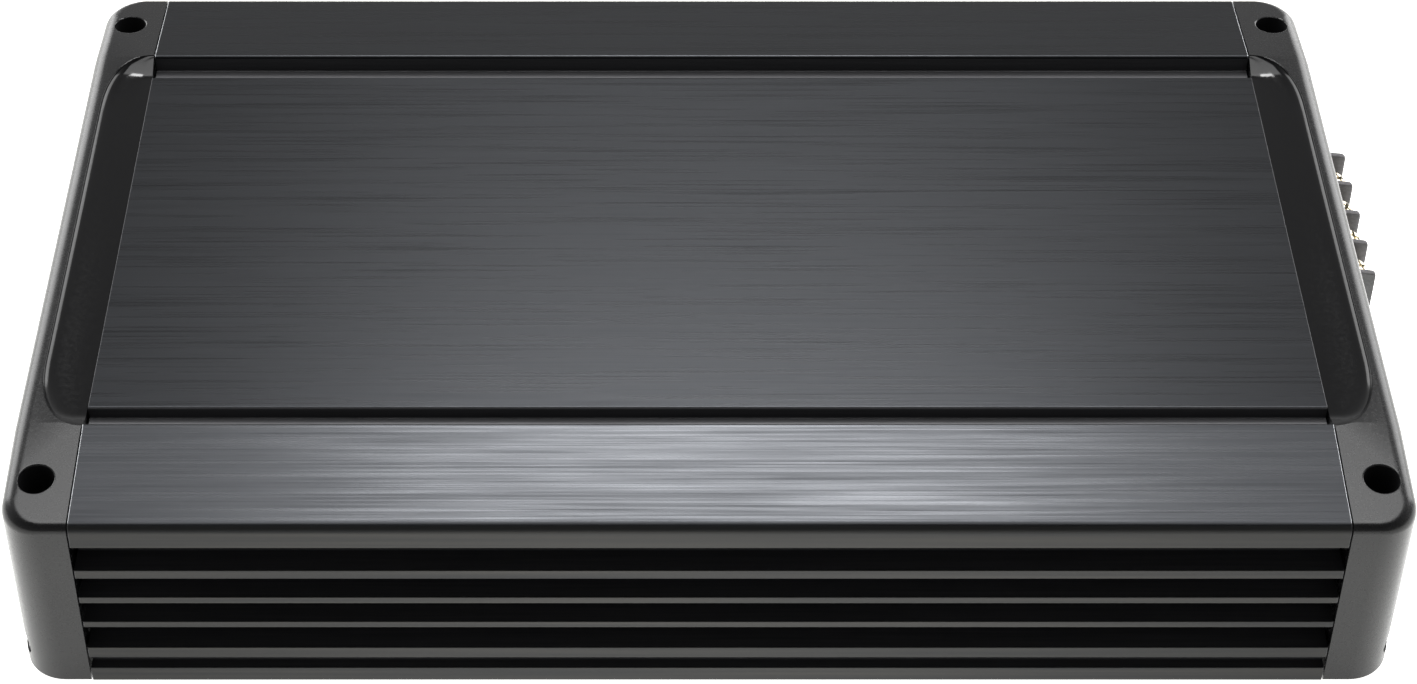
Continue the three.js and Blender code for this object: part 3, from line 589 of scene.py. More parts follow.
# Screen-printed ink on the end panels: flat off-white, slightly broken by the paint below.
INK = Finish("screen_printed_white_ink", "#cfd0cc", "#e6e6e2", 0.6, (0.6, 0.6, 0.6))
# Phenolic terminal block: dark warm grey, dull, with pale flecks of filler about 0.7 mm wide.
PHENOLIC = Finish(
    "moulded_phenolic",
    "#3a383a",
    "#545154",
    0.5,
    (0.7, 0.7, 0.7),
    relief=0.01,
    ior=1.6,
    patch=6.0,
)
# Nickel-plated brass: bright and slightly warm, with fine turning marks 0.4 mm apart.
NICKEL = Finish(
    "nickel_plated_brass",
    "#c9c1ad",
    "#e6dfcd",
    0.22,
    (0.4, 0.4, 0.4),
    relief=0.006,
    metallic=1.0,
    patch=3.0,
)
# Blackened steel screws: oil-black with a low metallic sheen.
BLACKENED = Finish(
    "blackened_steel",
    "#202022",
    "#313135",
    0.35,
    (0.6, 0.6, 0.6),
    relief=0.006,
    metallic=0.9,
    patch=3.0,
)
# Glass-filled nylon of the sockets and knobs: matt black, faint fibres 0.8 mm long.
NYLON = Finish(
    "glass_filled_black_nylon",
    "#141416",
    "#1e1e21",
    0.48,
    (0.8, 0.5, 0.5),
    relief=0.012,
    ior=1.53,
)
# Clear polycarbonate of a blade fuse: see-through green, smooth, the colour of a 30 A fuse.
FUSE = Finish(
    "clear_green_polycarbonate",
    "#1f8a3e",
    "#39b25a",
    0.14,
    (2.0, 2.0, 2.0),
    ior=1.58,
    clear=0.55,
    roughness_spread=0.04,
)
# Insulators of the line sockets, one for each side of a stereo pair.
WHITE_RING = Finish("white_nylon", "#d4d2ca", "#e6e4dc", 0.4, (0.9, 0.9, 0.9), relief=0.006)
RED_RING = Finish("red_nylon", "#a3141a", "#bb2026", 0.4, (0.9, 0.9, 0.9), relief=0.006)
# Tinted epoxy lenses, off at rest; a faint emission paints a little light at their tips.
BLUE_LENS = Finish(
    "blue_epoxy_lens", "#123a9a", "#2a66d8", 0.1, (1.0, 1.0, 1.0), clear=0.6, glow=0.15
)
RED_LENS = Finish(
    "red_epoxy_lens", "#8a1014", "#cc2a24", 0.1, (1.0, 1.0, 1.0), clear=0.6, glow=0.05
)
# Woven glass laminate under green solder mask: its threads lie about 0.4 mm apart.
LAMINATE = Finish(
    "green_masked_glass_laminate",
    "#1c4a2c",
    "#2a6a3e",
    0.38,
    (1.2, 1.2, 1.2),
    relief=0.02,
    pattern=Pattern.TURNS,
)
# Enamelled copper wire, wound in turns of about 0.75 mm round the ring core.
COPPER = Finish(
    "enamelled_copper_wire",
    "#7a3f1c",
    "#b5682f",
    0.32,
    (2.4, 2.4, 2.4),
    relief=0.3,
    pattern=Pattern.TURNS,
    metallic=0.85,
)
# Shrunk PVC sleeve of the capacitors: dark blue, with a soft sheen.
SLEEVE = Finish("shrunk_blue_pvc", "#16203c", "#22305a", 0.32, (3.0, 3.0, 3.0), relief=0.02)
# Mill-finish aluminium bar: pale, with sawn and rolled lines 0.8 mm apart.
MILL = Finish(
    "mill_finish_aluminium",
    "#9d9fa2",
    "#c3c5c8",
    0.36,
    (40.0, 0.8, 0.8),
    relief=0.01,
    pattern=Pattern.STREAKS,
    metallic=1.0,
)
# Opal acrylic of the table, with no sheen of its own; the studio gives it an even glow and a
# painted pool of light round the amplifier's foot.
TABLE = Finish("white_acrylic_table", "#f4f4f2", "#fafaf8", 0.8, (30.0, 30.0, 30.0), specular=0.0)


# ------------------------------------------------------------------ sub-assemblies


CONTROLS = ("front_crossover", "front_gain", "rear_crossover", "rear_gain")


def low_high(node: str) -> tuple[Vector, Vector]:
    """A CAD node's lowest and highest corners, in millimetres."""
    low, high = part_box(node)
    return low / MM, high / MM


def middle_of(low: Vector, high: Vector, axis: Axis = Axis.X) -> tuple[float, float]:
    """The middle of a box's outline, seen along an axis."""
    places = [(a + b) / 2 for a, b in zip(low, high)]
    return places[axis.value.index(0)], places[axis.value.index(1)]


@dataclass
class Section:
    """The housing's section, which the end caps carry on."""

    lip_inset: float = 32.0
    strip_drop: float = 3.5
    channel_width: float = 7.0
    channel_depth: float = 3.3
    panel_drop: float = 1.7
    edge_radius: float = 2.5
    half_depth: float = field(init=False)
    half_length: float = field(init=False)
    lip: float = field(init=False)

    def __post_init__(self) -> None:
        """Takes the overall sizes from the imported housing."""
        high = low_high("heatsink_housing")[1]
        self.half_length, self.half_depth, self.lip = high.x, high.y, high.z

    @property
    def slope(self) -> float:
        """The strips' fall for each millimetre outwards."""
        return self.strip_drop / self.lip_inset

    @property
    def panel(self) -> float:
        """The height of the raised centre panel."""
        return self.lip - self.panel_drop

    def top(self, y: float) -> float:
        """The height of the lips and strips at a distance from the middle."""
        beyond = max(0.0, abs(y) - (self.half_depth - self.lip_inset))
        return self.lip - beyond * self.slope


@dataclass
class Housing:
    """The extruded heatsink, its bottom cover and the cover's screws."""

    section: Section
    grooves: tuple[tuple[float, float, float], ...] = (
        (38.75, 46.2, 7.0),
        (29.6, 35.85, 7.0),
        (21.15, 27.4, 7.0),
        (12.0, 19.05, 7.0),
        (4.8, 8.4, 3.0),
    )
    lip_edge: float = 0.7
    rib_edge: float = 0.3
    groove_root: float = 0.6
    leg: float = 6.0
    boss: float = 17.0
    boss_top: float = 13.0
    wall: float = 9.5
    strip_ceiling: float = 48.5
    panel_ceiling: float = 51.3
    sawn_edge: float = 0.2
    cap_screw_port: float = 1.9
    cover_edge: float = 0.4
    cover_under: float = 1.8
    cover_hole: float = 1.7
    cover_sink: float = 3.1
    post: float = 4.0
    post_end_inset: float = 30
    post_side_inset: float = 8

    def _side(self) -> list[tuple[float, float, float]]:
        """Half of the section as (inset, height, corner radius), from the panel outwards."""
        part = self.section
        inner = part.lip_inset + part.channel_width
        floor = part.panel - part.channel_depth
        points = [
            (inner, part.panel, self.lip_edge),
            (inner, floor, self.rib_edge),
            (part.lip_inset, floor, self.rib_edge),
            (part.lip_inset, part.lip, self.lip_edge),
            (0.0, part.lip - part.strip_drop, part.edge_radius),
        ]
        for low, high, depth in self.grooves:
            points += [
                (0.0, high, self.rib_edge),
                (depth, high, self.groove_root),
                (depth, low, self.groove_root),
                (0.0, low, self.rib_edge),
            ]
        return points + [
            (0.0, 0.0, 2 * self.rib_edge),
            (self.leg, 0.0, self.rib_edge),
            (self.leg, self.cover_under, 0.0),
            (self.boss, self.cover_under, 0.0),
            (self.boss, self.boss_top, 0.0),
            (self.wall, self.boss_top, 0.0),
            (self.wall, self.strip_ceiling, 0.0),
            (inner + 3.0, self.strip_ceiling, 0.0),
            (inner + 3.0, self.panel_ceiling, 0.0),
        ]

    def _finish(self, middle: Vector) -> int:
        """The place of a face's finish: brushed, drawn, a paler grey inside the grooves (painted
        fill light), or bare at the sawn edge.
        """
        part = self.section
        inward = part.half_depth - abs(middle.y)
        if abs(middle.x) > part.half_length - self.sawn_edge:
            return 3 if inward < part.lip_inset and middle.z > part.lip - part.strip_drop else 2
        if middle.z > part.panel - 0.2 and inward > part.edge_radius:
            return 0
        low_lip = part.top(part.half_depth) - part.edge_radius
        if middle.z > low_lip and inward < part.lip_inset - 0.1:
            flat = inward > part.edge_radius * 0.7 or middle.z > part.top(middle.y) - 0.4
            return 0 if flat else 1
        # Faces deeper than the ribs' tips get the groove finish, whose paler grey is painted fill
        # light.
        return 1 if inward < self.rib_edge else 2

    def pieces(self) -> list[Piece]:
        """The housing, cover and screws."""
        part = self.section
        side = self._side()
        front = [(-(part.half_depth - i), z, r) for i, z, r in side]
        back = [(part.half_depth - i, z, r) for i, z, r in reversed(side)]
        outline = softened(front + back, 5)
        length = part.half_length
        shape = Shape().prism(Axis.X, outline, -length, length, self.sawn_edge, self._finish)
        ports = []
        for name in ("end_cap_screw_right_front", "end_cap_screw_right_back"):
            low, high = low_high(name)
            centre = middle_of(low, high)
            port = Shape().turned(
                Axis.X,
                centre,
                [(self.cap_screw_port, -length - 1), (self.cap_screw_port, length + 1)],
                16,
                2,
            )
            ports.append((Cut.AWAY, port))
        holes = []
        sinks = []
        for i in range(1, 5):
            low, high = low_high(f"bottom_screw_{i}")
            centre = middle_of(low, high, Axis.Z)
            hole = [(self.cover_hole, -1.0), (self.cover_hole, high.z + 2)]
            holes.append((Cut.AWAY, Shape().turned(Axis.Z, centre, hole, 16, 2)))
            sink = [(self.cover_sink + 0.1, -0.1), (self.cover_hole, 1.6)]
            sinks.append((Cut.AWAY, Shape().turned(Axis.Z, centre, sink, 24)))
        housing = Piece(
            "finned_housing",
            shape,
            (BRUSHED, DRAWN, GROOVE_PAINTED_FILL, MILL),
            ("heatsink_housing",),
            "anodised_aluminium",
            changes=ports + holes,
        )
        return [housing, self._cover(sinks)] + [self._screw(i) for i in range(1, 5)]

    def _cover(self, sinks: Sequence[tuple[Cut, Shape]]) -> Piece:
        """The bottom cover with its standoffs and countersunk holes."""
        low, high = low_high("bottom_cover")
        plate = rectangle(low.x, high.x, low.y, high.y, 2.0)
        shape = Shape().prism(Axis.Z, plate, low.z, 1.5, self.cover_edge)
        board = low_high("main_circuit_board")[1]
        posts = []
        for x in (-1, 1):
            for y in (-1, 1):
                centre = (x * (board.x - self.post_end_inset), y * (board.y - self.post_side_inset))
                profile = [(self.post + 0.6, 1.0), (self.post, 2.2), (self.post, high.z)]
                posts.append((Cut.ADD, Shape().turned(Axis.Z, centre, profile, 24)))
        return Piece(
            "bottom_plate",
            shape,
            (PAINTED,),
            ("bottom_cover",),
            "painted_steel",
            changes=posts + list(sinks),
        )

    def _screw(self, number: int) -> Piece:
        """A countersunk cross-head screw of the bottom cover."""
        low, high = low_high(f"bottom_screw_{number}")
        centre = middle_of(low, high, Axis.Z)
        profile = [(2.5, 0.1), (2.8, 0.25), (1.4, 1.5), (1.4, high.z - 0.6), (0.9, high.z)]
        shape = Shape().turned(Axis.Z, centre, profile, 24)
        drive = cross_recess(1.6, 0.55, 1.1)
        drive.moved(Matrix.Translation((*centre, 0.1)) @ Matrix.Rotation(math.pi, 4, "X"))
        return Piece(
            f"cover_screw_{number}",
            shape,
            (BLACKENED,),
            (f"bottom_screw_{number}",),
            "black_screw_steel",
            changes=((Cut.AWAY, drive),),
        )


def cross_recess(reach: float, half: float, depth: float) -> Shape:
    """The tapered cross that a driver fits, its mouth at height 0 and its floor below.

    Args:
        reach: from the middle to the end of an arm.
        half: half of an arm's width.
        depth: of the recess.

    Returns:
        The shape to cut away.
    """
    arms: Outline = []
    for turn in range(4):
        angle = turn * math.pi / 2
        for a, b in ((reach, -half), (reach, half), (half, half)):
            across = a * math.cos(angle) - b * math.sin(angle)
            arms.append((across, a * math.sin(angle) + b * math.cos(angle)))
    floor = [(a * 0.55, b * 0.55) for a, b in arms]
    rings = [Axis.Z.ring(floor, -depth), Axis.Z.ring(arms, 0.0), Axis.Z.ring(arms, 1.0)]
    return Shape().loft(rings)


@dataclass
class EndCap:
    """A moulded end cap: rolled rim, scooped trough, corner holes and end window."""

    section: Section
    side: int
    corner: float = 10.5
    roll: float = 4.5
    foot: float = 0.8
    wall: float = 3.0
    pocket: tuple[float, float, float] = (82.0, 2.5, 50.5)
    window: tuple[float, float, float, float] = (79.0, 7.0, 46.0, 4.0)
    window_rim: float = 0.9
    trough_reach: float = 12.0
    trough_half: float = 73.6
    trough_round: float = 23.6
    trough_floor: float = 53.6
    trough_ramp: float = 6.0
    trough_rim: float = 0.25
    trough_hollow: float = 10.5
    trough_square: float = 2.3
    well_end: float = 8.0
    well_side: float = 14.76
    well_radius: float = 4.23
    well_rim: float = 0.5
    well_floor: float = 4.5
    hole_radius: float = 2.4
    corner_steps: int = 12
    roll_steps: int = 10
    trough_steps: int = 18
    screw_seat: float = 2.5
    screw_bore: float = 1.9
    head_bore: float = 3.3

    @property
    def name(self) -> str:
        """Which end this is."""
        return "right" if self.side > 0 else "left"

    def _plan(self) -> list[tuple[Vector, Vector]]:
        """The plan outline as points with their outward directions, from the front seam round."""
        low, high = low_high("end_cap_right")
        half = self.section.half_depth
        lip = half - self.section.lip_inset
        centre = Vector((high.x - self.corner, half - self.corner))
        back = [(Vector((low.x, half)), Vector((0.0, 1.0)))]
        for i in range(self.corner_steps + 1):
            angle = math.pi / 2 * (1 - i / self.corner_steps)
            out = Vector((math.cos(angle), math.sin(angle)))
            back.append((centre + out * self.corner, out))
        back.append((Vector((high.x, lip)), Vector((1.0, 0.0))))
        front = [(Vector((p.x, -p.y)), Vector((n.x, -n.y))) for p, n in reversed(back)]
        seam = [(Vector((low.x, y)), Vector((0.0, 0.0))) for y in (-lip, lip)]
        return back + front + seam

    def _body(self) -> Shape:
        """The cap's outer skin, closed along the seam and below."""
        part = self.section
        plan = self._plan()
        rings = []
        for turn in (90, 60, 30, 0):
            angle = math.radians(turn)
            inward = self.foot * (1 - math.cos(angle))
            height = self.foot * (1 - math.sin(angle))
            rings.append([Vector((*(p - n * inward), height)) for p, n in plan])
        steps = self.roll_steps
        for i in range(steps + 1):
            ring = []
            for p, n in plan:
                share = abs(n.x)
                radius = part.edge_radius + (self.roll - part.edge_radius) * share
                limit = math.pi / 2 - math.atan(part.slope) * abs(n.y)
                angle = limit * i / steps
                inner = p - n * radius
                base = part.top(inner.y) - radius
                place = inner + n * (radius * math.cos(angle))
                height = base + radius * math.sin(angle)
                if i == steps:
                    height = part.top(place.y)
                ring.append(Vector((*place, height)))
            rings.append(ring)
        shape = Shape().loft(rings, caps=False)
        mesh = shape.mesh
        mesh.verts.ensure_lookup_table()
        count = len(plan)
        bottom = [mesh.verts[i] for i in range(count)]
        top = [mesh.verts[(len(rings) - 1) * count + i] for i in range(count)]
        mesh.faces.new(list(reversed(bottom)))
        corner = self.corner_steps + 2
        front_lip = corner + 2
        mesh.faces.new(top[: corner + 1] + [top[-1]])
        mesh.faces.new(top[corner : front_lip] + [top[-2], top[-1]])
        mesh.faces.new(top[front_lip - 1 : -1])
        return shape

    def _trough(self) -> Shape:
        """What is scooped out of the top: a hollow with a ramp at each end."""
        part = self.section
        seam = part.half_length - 1
        straight = self.trough_half - self.trough_round
        line = []
        steps = self.trough_steps
        for i in range(steps + 1):
            angle = min(math.pi / 2 * (1 - i / steps), math.pi / 2 - 1e-9)
            a, b = self.trough_reach, self.trough_round
            bend = 2 / self.trough_square
            c, d = math.cos(angle), math.sin(angle)
            out = Vector((c ** (2 - bend) / a, d ** (2 - bend) / b)).normalized()
            place = (part.half_length + a * c**bend, straight + b * d**bend)
            line.append((Vector(place), out))
        line += [(Vector((p.x, -p.y)), Vector((n.x, -n.y))) for p, n in reversed(line)]
        rings = []
        for p, n in line:
            rim = self.trough_rim
            deep = min(self.trough_hollow, max(0.3, (p.x - part.half_length) * 0.85))
            edge = p + n * rim
            ring = [
                Vector((seam, edge.y, part.lip + 1)),
                Vector((*edge, part.lip + 1)),
                Vector((*edge, part.top(edge.y))),
            ]
            for turn in (30, 60, 90):
                angle = math.radians(turn)
                q = p + n * (rim * (1 - math.sin(angle)))
                ring.append(Vector((*q, part.top(p.y) - rim * (1 - math.cos(angle)))))
            for i in range(1, 7):
                angle = math.pi / 2 * i / 6
                q = p - n * (deep * (1 - math.cos(angle)))
                floor = self._floor(q.y)
                start = part.top(p.y) - rim
                height = floor + max(0.0, start - floor) * (1 - math.sin(angle))
                ring.append(Vector((*q, min(height, start))))
            last = ring[-1]
            ring.append(Vector((seam, last.y, self._floor(last.y))))
            rings.append(ring)
        return Shape().loft(rings, finish=1)

    def _floor(self, y: float) -> float:
        """The height of the trough's floor, which curves up at its ends."""
        along = max(0.0, abs(y) - (self.trough_half - self.trough_ramp)) / self.trough_ramp
        rise = self.section.top(self.trough_half) - self.trough_rim - self.trough_floor
        return self.trough_floor + rise * min(1.0, along) ** 1.3

    def _well(self, side: int) -> Shape:
        """A counterbored corner hole; its softened mouth follows the strip's slope."""
        part = self.section
        high = low_high("end_cap_right")[1]
        a, b = high.x - self.well_end, side * (part.half_depth - self.well_side)
        rings = [
            Axis.Z.ring(circle(r, 36, a, b), z)
            for r, z in (
                (self.hole_radius, -1.0),
                (self.hole_radius, self.well_floor),
                (self.well_radius, self.well_floor),
            )
        ]
        for turn in (0, 30, 60, 90):
            angle = math.radians(turn)
            radius = self.well_radius + self.well_rim * (1 - math.cos(angle))
            drop = self.well_rim * (1 - math.sin(angle))
            rings.append(
                [Vector((x, y, part.top(y) - drop)) for x, y in circle(radius, 36, a, b)]
            )
        rings.append([Vector((p.x, p.y, part.lip + 1)) for p in rings[-1]])
        return Shape().loft(rings, finish=lambda m: 0 if m.z > part.top(m.y) - self.well_rim else 2)

    def _window(self) -> Shape:
        """The opening for the end panel's pieces, with a softened outer rim."""
        high = low_high("end_cap_right")[1]
        half, low_edge, top_edge, corner = self.window
        outline = rectangle(-half, half, low_edge, top_edge, corner, 8)
        rim = self.window_rim
        rings = [Axis.X.ring(outline, high.x - self.wall - 1), Axis.X.ring(outline, high.x - rim)]
        for turn in (30, 60, 90):
            angle = math.radians(turn)
            wider = inset(outline, -rim * (1 - math.cos(angle)))
            rings.append(Axis.X.ring(wider, high.x - rim * (1 - math.sin(angle))))
        rings.append([p + Vector((1.0, 0.0, 0.0)) for p in rings[-1]])
        return Shape().loft(rings)

    def pieces(self) -> list[Piece]:
        """The cap and its two screws."""
        low, high = low_high("end_cap_right")
        half, pocket_low, pocket_high = self.pocket
        pocket = rectangle(-half, half, pocket_low, pocket_high, 1.0)
        tools = [
            Shape().prism(Axis.X, pocket, low.x - 1, high.x - self.wall, finish=2),
            self._window(),
            self._trough(),
            self._well(-1),
            self._well(1),
        ]
        made = []
        for place in ("front", "back"):
            name = f"end_cap_screw_{self.name}_{place}"
            head_low, head_high = low_high(f"end_cap_screw_right_{place}")
            y, z = middle_of(head_low, head_high)
            seat = head_high.x - self.screw_seat
            bore = [(self.screw_bore, low.x - 1), (self.screw_bore, seat)]
            bore += [(self.head_bore, seat), (self.head_bore, high.x + 1)]
            tools.append(Shape().turned(Axis.X, (y, z), bore, 28, 2))
            made.append(self._screw(name, y, z, head_low.x, head_high.x))
        body = self._body()
        if self.side < 0:
            turn = Matrix.Rotation(math.pi, 4, "Z")
            body.moved(turn)
            for tool in tools:
                tool.moved(turn)
        cap = Piece(
            f"end_cap_{self.name}_moulding",
            body,
            (CAP, TROUGH, WELL),
            (f"end_cap_{self.name}",),
            "moulded_black_plastic",
            changes=[(Cut.AWAY, tool) for tool in tools],
        )
        return [cap] + made

    def _screw(self, node: str, y: float, z: float, start: float, end: float) -> Piece:
        """A pan-head screw that holds the cap to the housing."""
        profile = [
            (1.0, start),
            (1.6, start + 0.8),
            (1.6, end - 2.2),
            (3.0, end - 2.2),
            (3.0, end - 0.9),
            (2.7, end - 0.3),
            (2.0, end),
        ]
        shape = Shape().turned(Axis.X, (y, z), profile, 28)
        drive = cross_recess(1.7, 0.45, 1.2)
        drive.moved(Matrix.Translation((end, y, z)) @ Matrix.Rotation(math.pi / 2, 4, "Y"))
        if self.side < 0:
            turn = Matrix.Rotation(math.pi, 4, "Z")
            shape.moved(turn)
            drive.moved(turn)
        return Piece(
            f"{node}_steel",
            shape,
            (BLACKENED,),
            (node,),
            "black_screw_steel",
            changes=((Cut.AWAY, drive),),
        )


@dataclass
class PowerTerminals:
    """The four-way terminal block with its clamp plates and screws."""

    pitch: float = 12.25
    ways: int = 4
    reach: float = 12.2
    barrier: float = 1.8
    barrier_outer: float = 23.6
    barrier_inner: float = 25.2
    seat_reach: float = 11.4
    seat_outer: float = 14.6
    seat_angle: float = math.radians(35)
    seat_centre: float = 7.6
    edge: float = 0.5
    hole: float = 2.15
    tail_trim: float = 3.0
    head_radius: float = 3.4
    shank: float = 1.75

    def _outline(self, reach: float, outer: float, inner: float, soft: float) -> Outline:
        """A section across the block: down its back, out along its foot and up its sloping top."""
        back, foot = self.back, self.foot
        corners = [
            (foot, back, 0.4),
            (foot + inner, back, soft),
            (foot + outer, back + reach, soft),
            (foot, back + reach, 0.6),
        ]
        return softened(corners, 5)

    @property
    def back(self) -> float:
        """Where the block meets the end panel."""
        return low_high("power_terminal_block")[1].x - self.reach

    @property
    def foot(self) -> float:
        """The underside of the block outside the panel."""
        return low_high("power_terminal_block")[1].z - self.barrier_inner

    def _seat(self, way: int) -> Matrix:
        """The place of one screw's seat, its own Z along the screw."""
        low, high = low_high("power_terminal_block")
        middle = (low.y + high.y) / 2 + (way - (self.ways - 1) / 2) * self.pitch
        rise = (self.seat_reach - self.seat_centre) * math.tan(self.seat_angle)
        spot = (self.back + self.seat_centre, middle, self.foot + self.seat_outer + rise)
        return Matrix.Translation(spot) @ Matrix.Rotation(self.seat_angle, 4, "Y")

    def pieces(self) -> list[Piece]:
        """The block, then each way's plate and screw."""
        low, high = low_high("power_terminal_block")
        seat_inner = self.seat_outer + self.seat_reach * math.tan(self.seat_angle)
        base = self._outline(self.seat_reach, self.seat_outer, seat_inner, 0.3)
        fin = self._outline(self.reach, self.barrier_outer, self.barrier_inner, 1.2)
        rings = []
        for i in range(self.ways + 1):
            start = low.y + i * self.pitch
            if i:
                rings.append(Axis.Y.ring(base, start))
            for along, inward in ((0.0, self.edge), (0.15, 0.15), (self.edge, 0.0)):
                rings.append(Axis.Y.ring(inset(fin, inward), start + along))
            for along, inward in ((self.edge, 0.0), (0.15, 0.15), (0.0, self.edge)):
                rings.append(Axis.Y.ring(inset(fin, inward), start + self.barrier - along))
            if i < self.ways:
                rings.append(Axis.Y.ring(base, start + self.barrier))
        shape = Shape().loft(rings)
        tail = rectangle(low.y + self.tail_trim, high.y - self.tail_trim, low.z, low.z + 16, 0.5)
        changes = [(Cut.ADD, Shape().prism(Axis.X, tail, low.x, self.back + 1))]
        for way in range(self.ways):
            hole = Shape().turned(Axis.Z, (0, 0), [(self.hole, -7.5), (self.hole, 4.0)], 28)
            changes.append((Cut.AWAY, hole.moved(self._seat(way))))
        made = [
            Piece(
                "terminal_block_moulding",
                shape,
                (PHENOLIC,),
                ("power_terminal_block",),
                "terminal_plastic",
                changes=changes,
            )
        ]
        for way in range(self.ways):
            made += [self._clamp(way), self._screw(way)]
        return made

    def _clamp(self, way: int) -> Piece:
        """A pressed plate with a hole for its screw, which lifts with the screw."""
        plate = Shape().prism(Axis.Z, rectangle(-4.0, 4.0, -4.3, 4.3, 1.0), 0.3, 1.3, 0.2)
        plate.moved(self._seat(way))
        hole = Shape().turned(Axis.Z, (0, 0), [(self.hole, -1.0), (self.hole, 3.0)], 28)
        return Piece(
            f"clamp_plate_{way + 1}",
            plate,
            (NICKEL,),
            (f"power_clamp_{way + 1}",),
            "nickel_plate",
            f"power_clamp_{way + 1}",
            ((Cut.AWAY, hole.moved(self._seat(way))),),
        )

    def _screw(self, way: int) -> Piece:
        """A pan-head cross screw."""
        start, radius = 1.6, self.head_radius
        profile = [(1.2, -6.0), (self.shank, -5.4), (self.shank, start), (radius - 0.2, start)]
        profile += [(radius, start + 0.2), (radius, start + 1.2)]
        for turn in (20, 40, 60, 78):
            angle = math.radians(turn)
            inward = 1.8 * (1 - math.cos(angle))
            profile.append((radius - inward, start + 1.2 + 1.2 * math.sin(angle)))
        place = self._seat(way) @ Matrix.Rotation(0.5 + 1.1 * way, 4, "Z")
        shape = Shape().turned(Axis.Z, (0, 0), profile, 36).moved(place)
        drive = cross_recess(2.0, 0.5, 1.5).moved(Matrix.Translation((0, 0, start + 2.4)))
        return Piece(
            f"terminal_screw_{way + 1}",
            shape,
            (NICKEL,),
            (f"power_screw_{way + 1}",),
            "nickel_plate",
            f"power_screw_{way + 1}",
            ((Cut.AWAY, drive.moved(place)),),
        )


@dataclass
class Plates:
    """The painted end panels behind the caps' windows."""

    gap: float = 0.3
    lever_room: float = 2.0
    tail_height: float = 16.0
    tail_trim: float = 3.0
    pot_neck: float = 3.4
    lens: float = 1.5

    def pieces(self) -> list[Piece]:
        """Both panels with their cut-outs."""
        right = self._panel("right", ("power_terminal_block", "fuse_holder", "speaker_socket"), ())
        rounds = [f"input_jack_{i}" for i in range(1, 5)]
        rounds += [f"{name}_pot" for name in CONTROLS]
        slots = [f"{side}_mode_switch_lever" for side in ("front", "rear")]
        left = self._panel("left", slots, rounds + ["power_led", "protect_led"])
        return [right, left]

    def _panel(self, side: str, squares: Sequence[str], rounds: Sequence[str]) -> Piece:
        """A sheet with a hole for each piece that comes through it.

        Args:
            side: which end.
            squares: nodes with a rectangular outline.
            rounds: nodes with a round outline.

        Returns:
            The panel.
        """
        low, high = low_high(f"end_panel_{side}")
        sheet = rectangle(low.y, high.y, low.z, high.z, 1.5)
        shape = Shape().prism(Axis.X, sheet, low.x, high.x, 0.2)
        tools = []
        for node in squares:
            a, b = low_high(node)
            room = self.lever_room if node.endswith("lever") else 0.0
            top, bottom, trim = b.z, a.z, 0.0
            if node == "power_terminal_block":
                top, trim = a.z + self.tail_height, -self.tail_trim
            hole = rectangle(
                a.y - room - trim - self.gap,
                b.y + room + trim + self.gap,
                bottom - self.gap,
                top + self.gap,
                0.5,
            )
            tools.append((Cut.AWAY, Shape().prism(Axis.X, hole, low.x - 1, high.x + 1)))
        for node in rounds:
            a, b = low_high(node)
            radius = (b.z - a.z) / 2
            if node.endswith("pot"):
                radius = self.pot_neck
            if node.endswith("led"):
                radius = self.lens
            spot = middle_of(a, b)
            profile = [(radius + self.gap, low.x - 1), (radius + self.gap, high.x + 1)]
            tools.append((Cut.AWAY, Shape().turned(Axis.X, spot, profile, 32)))
        return Piece(
            f"end_plate_{side}",
            shape,
            (PAINTED,),
            (f"end_panel_{side}",),
            "painted_steel",
            changes=tools,
        )


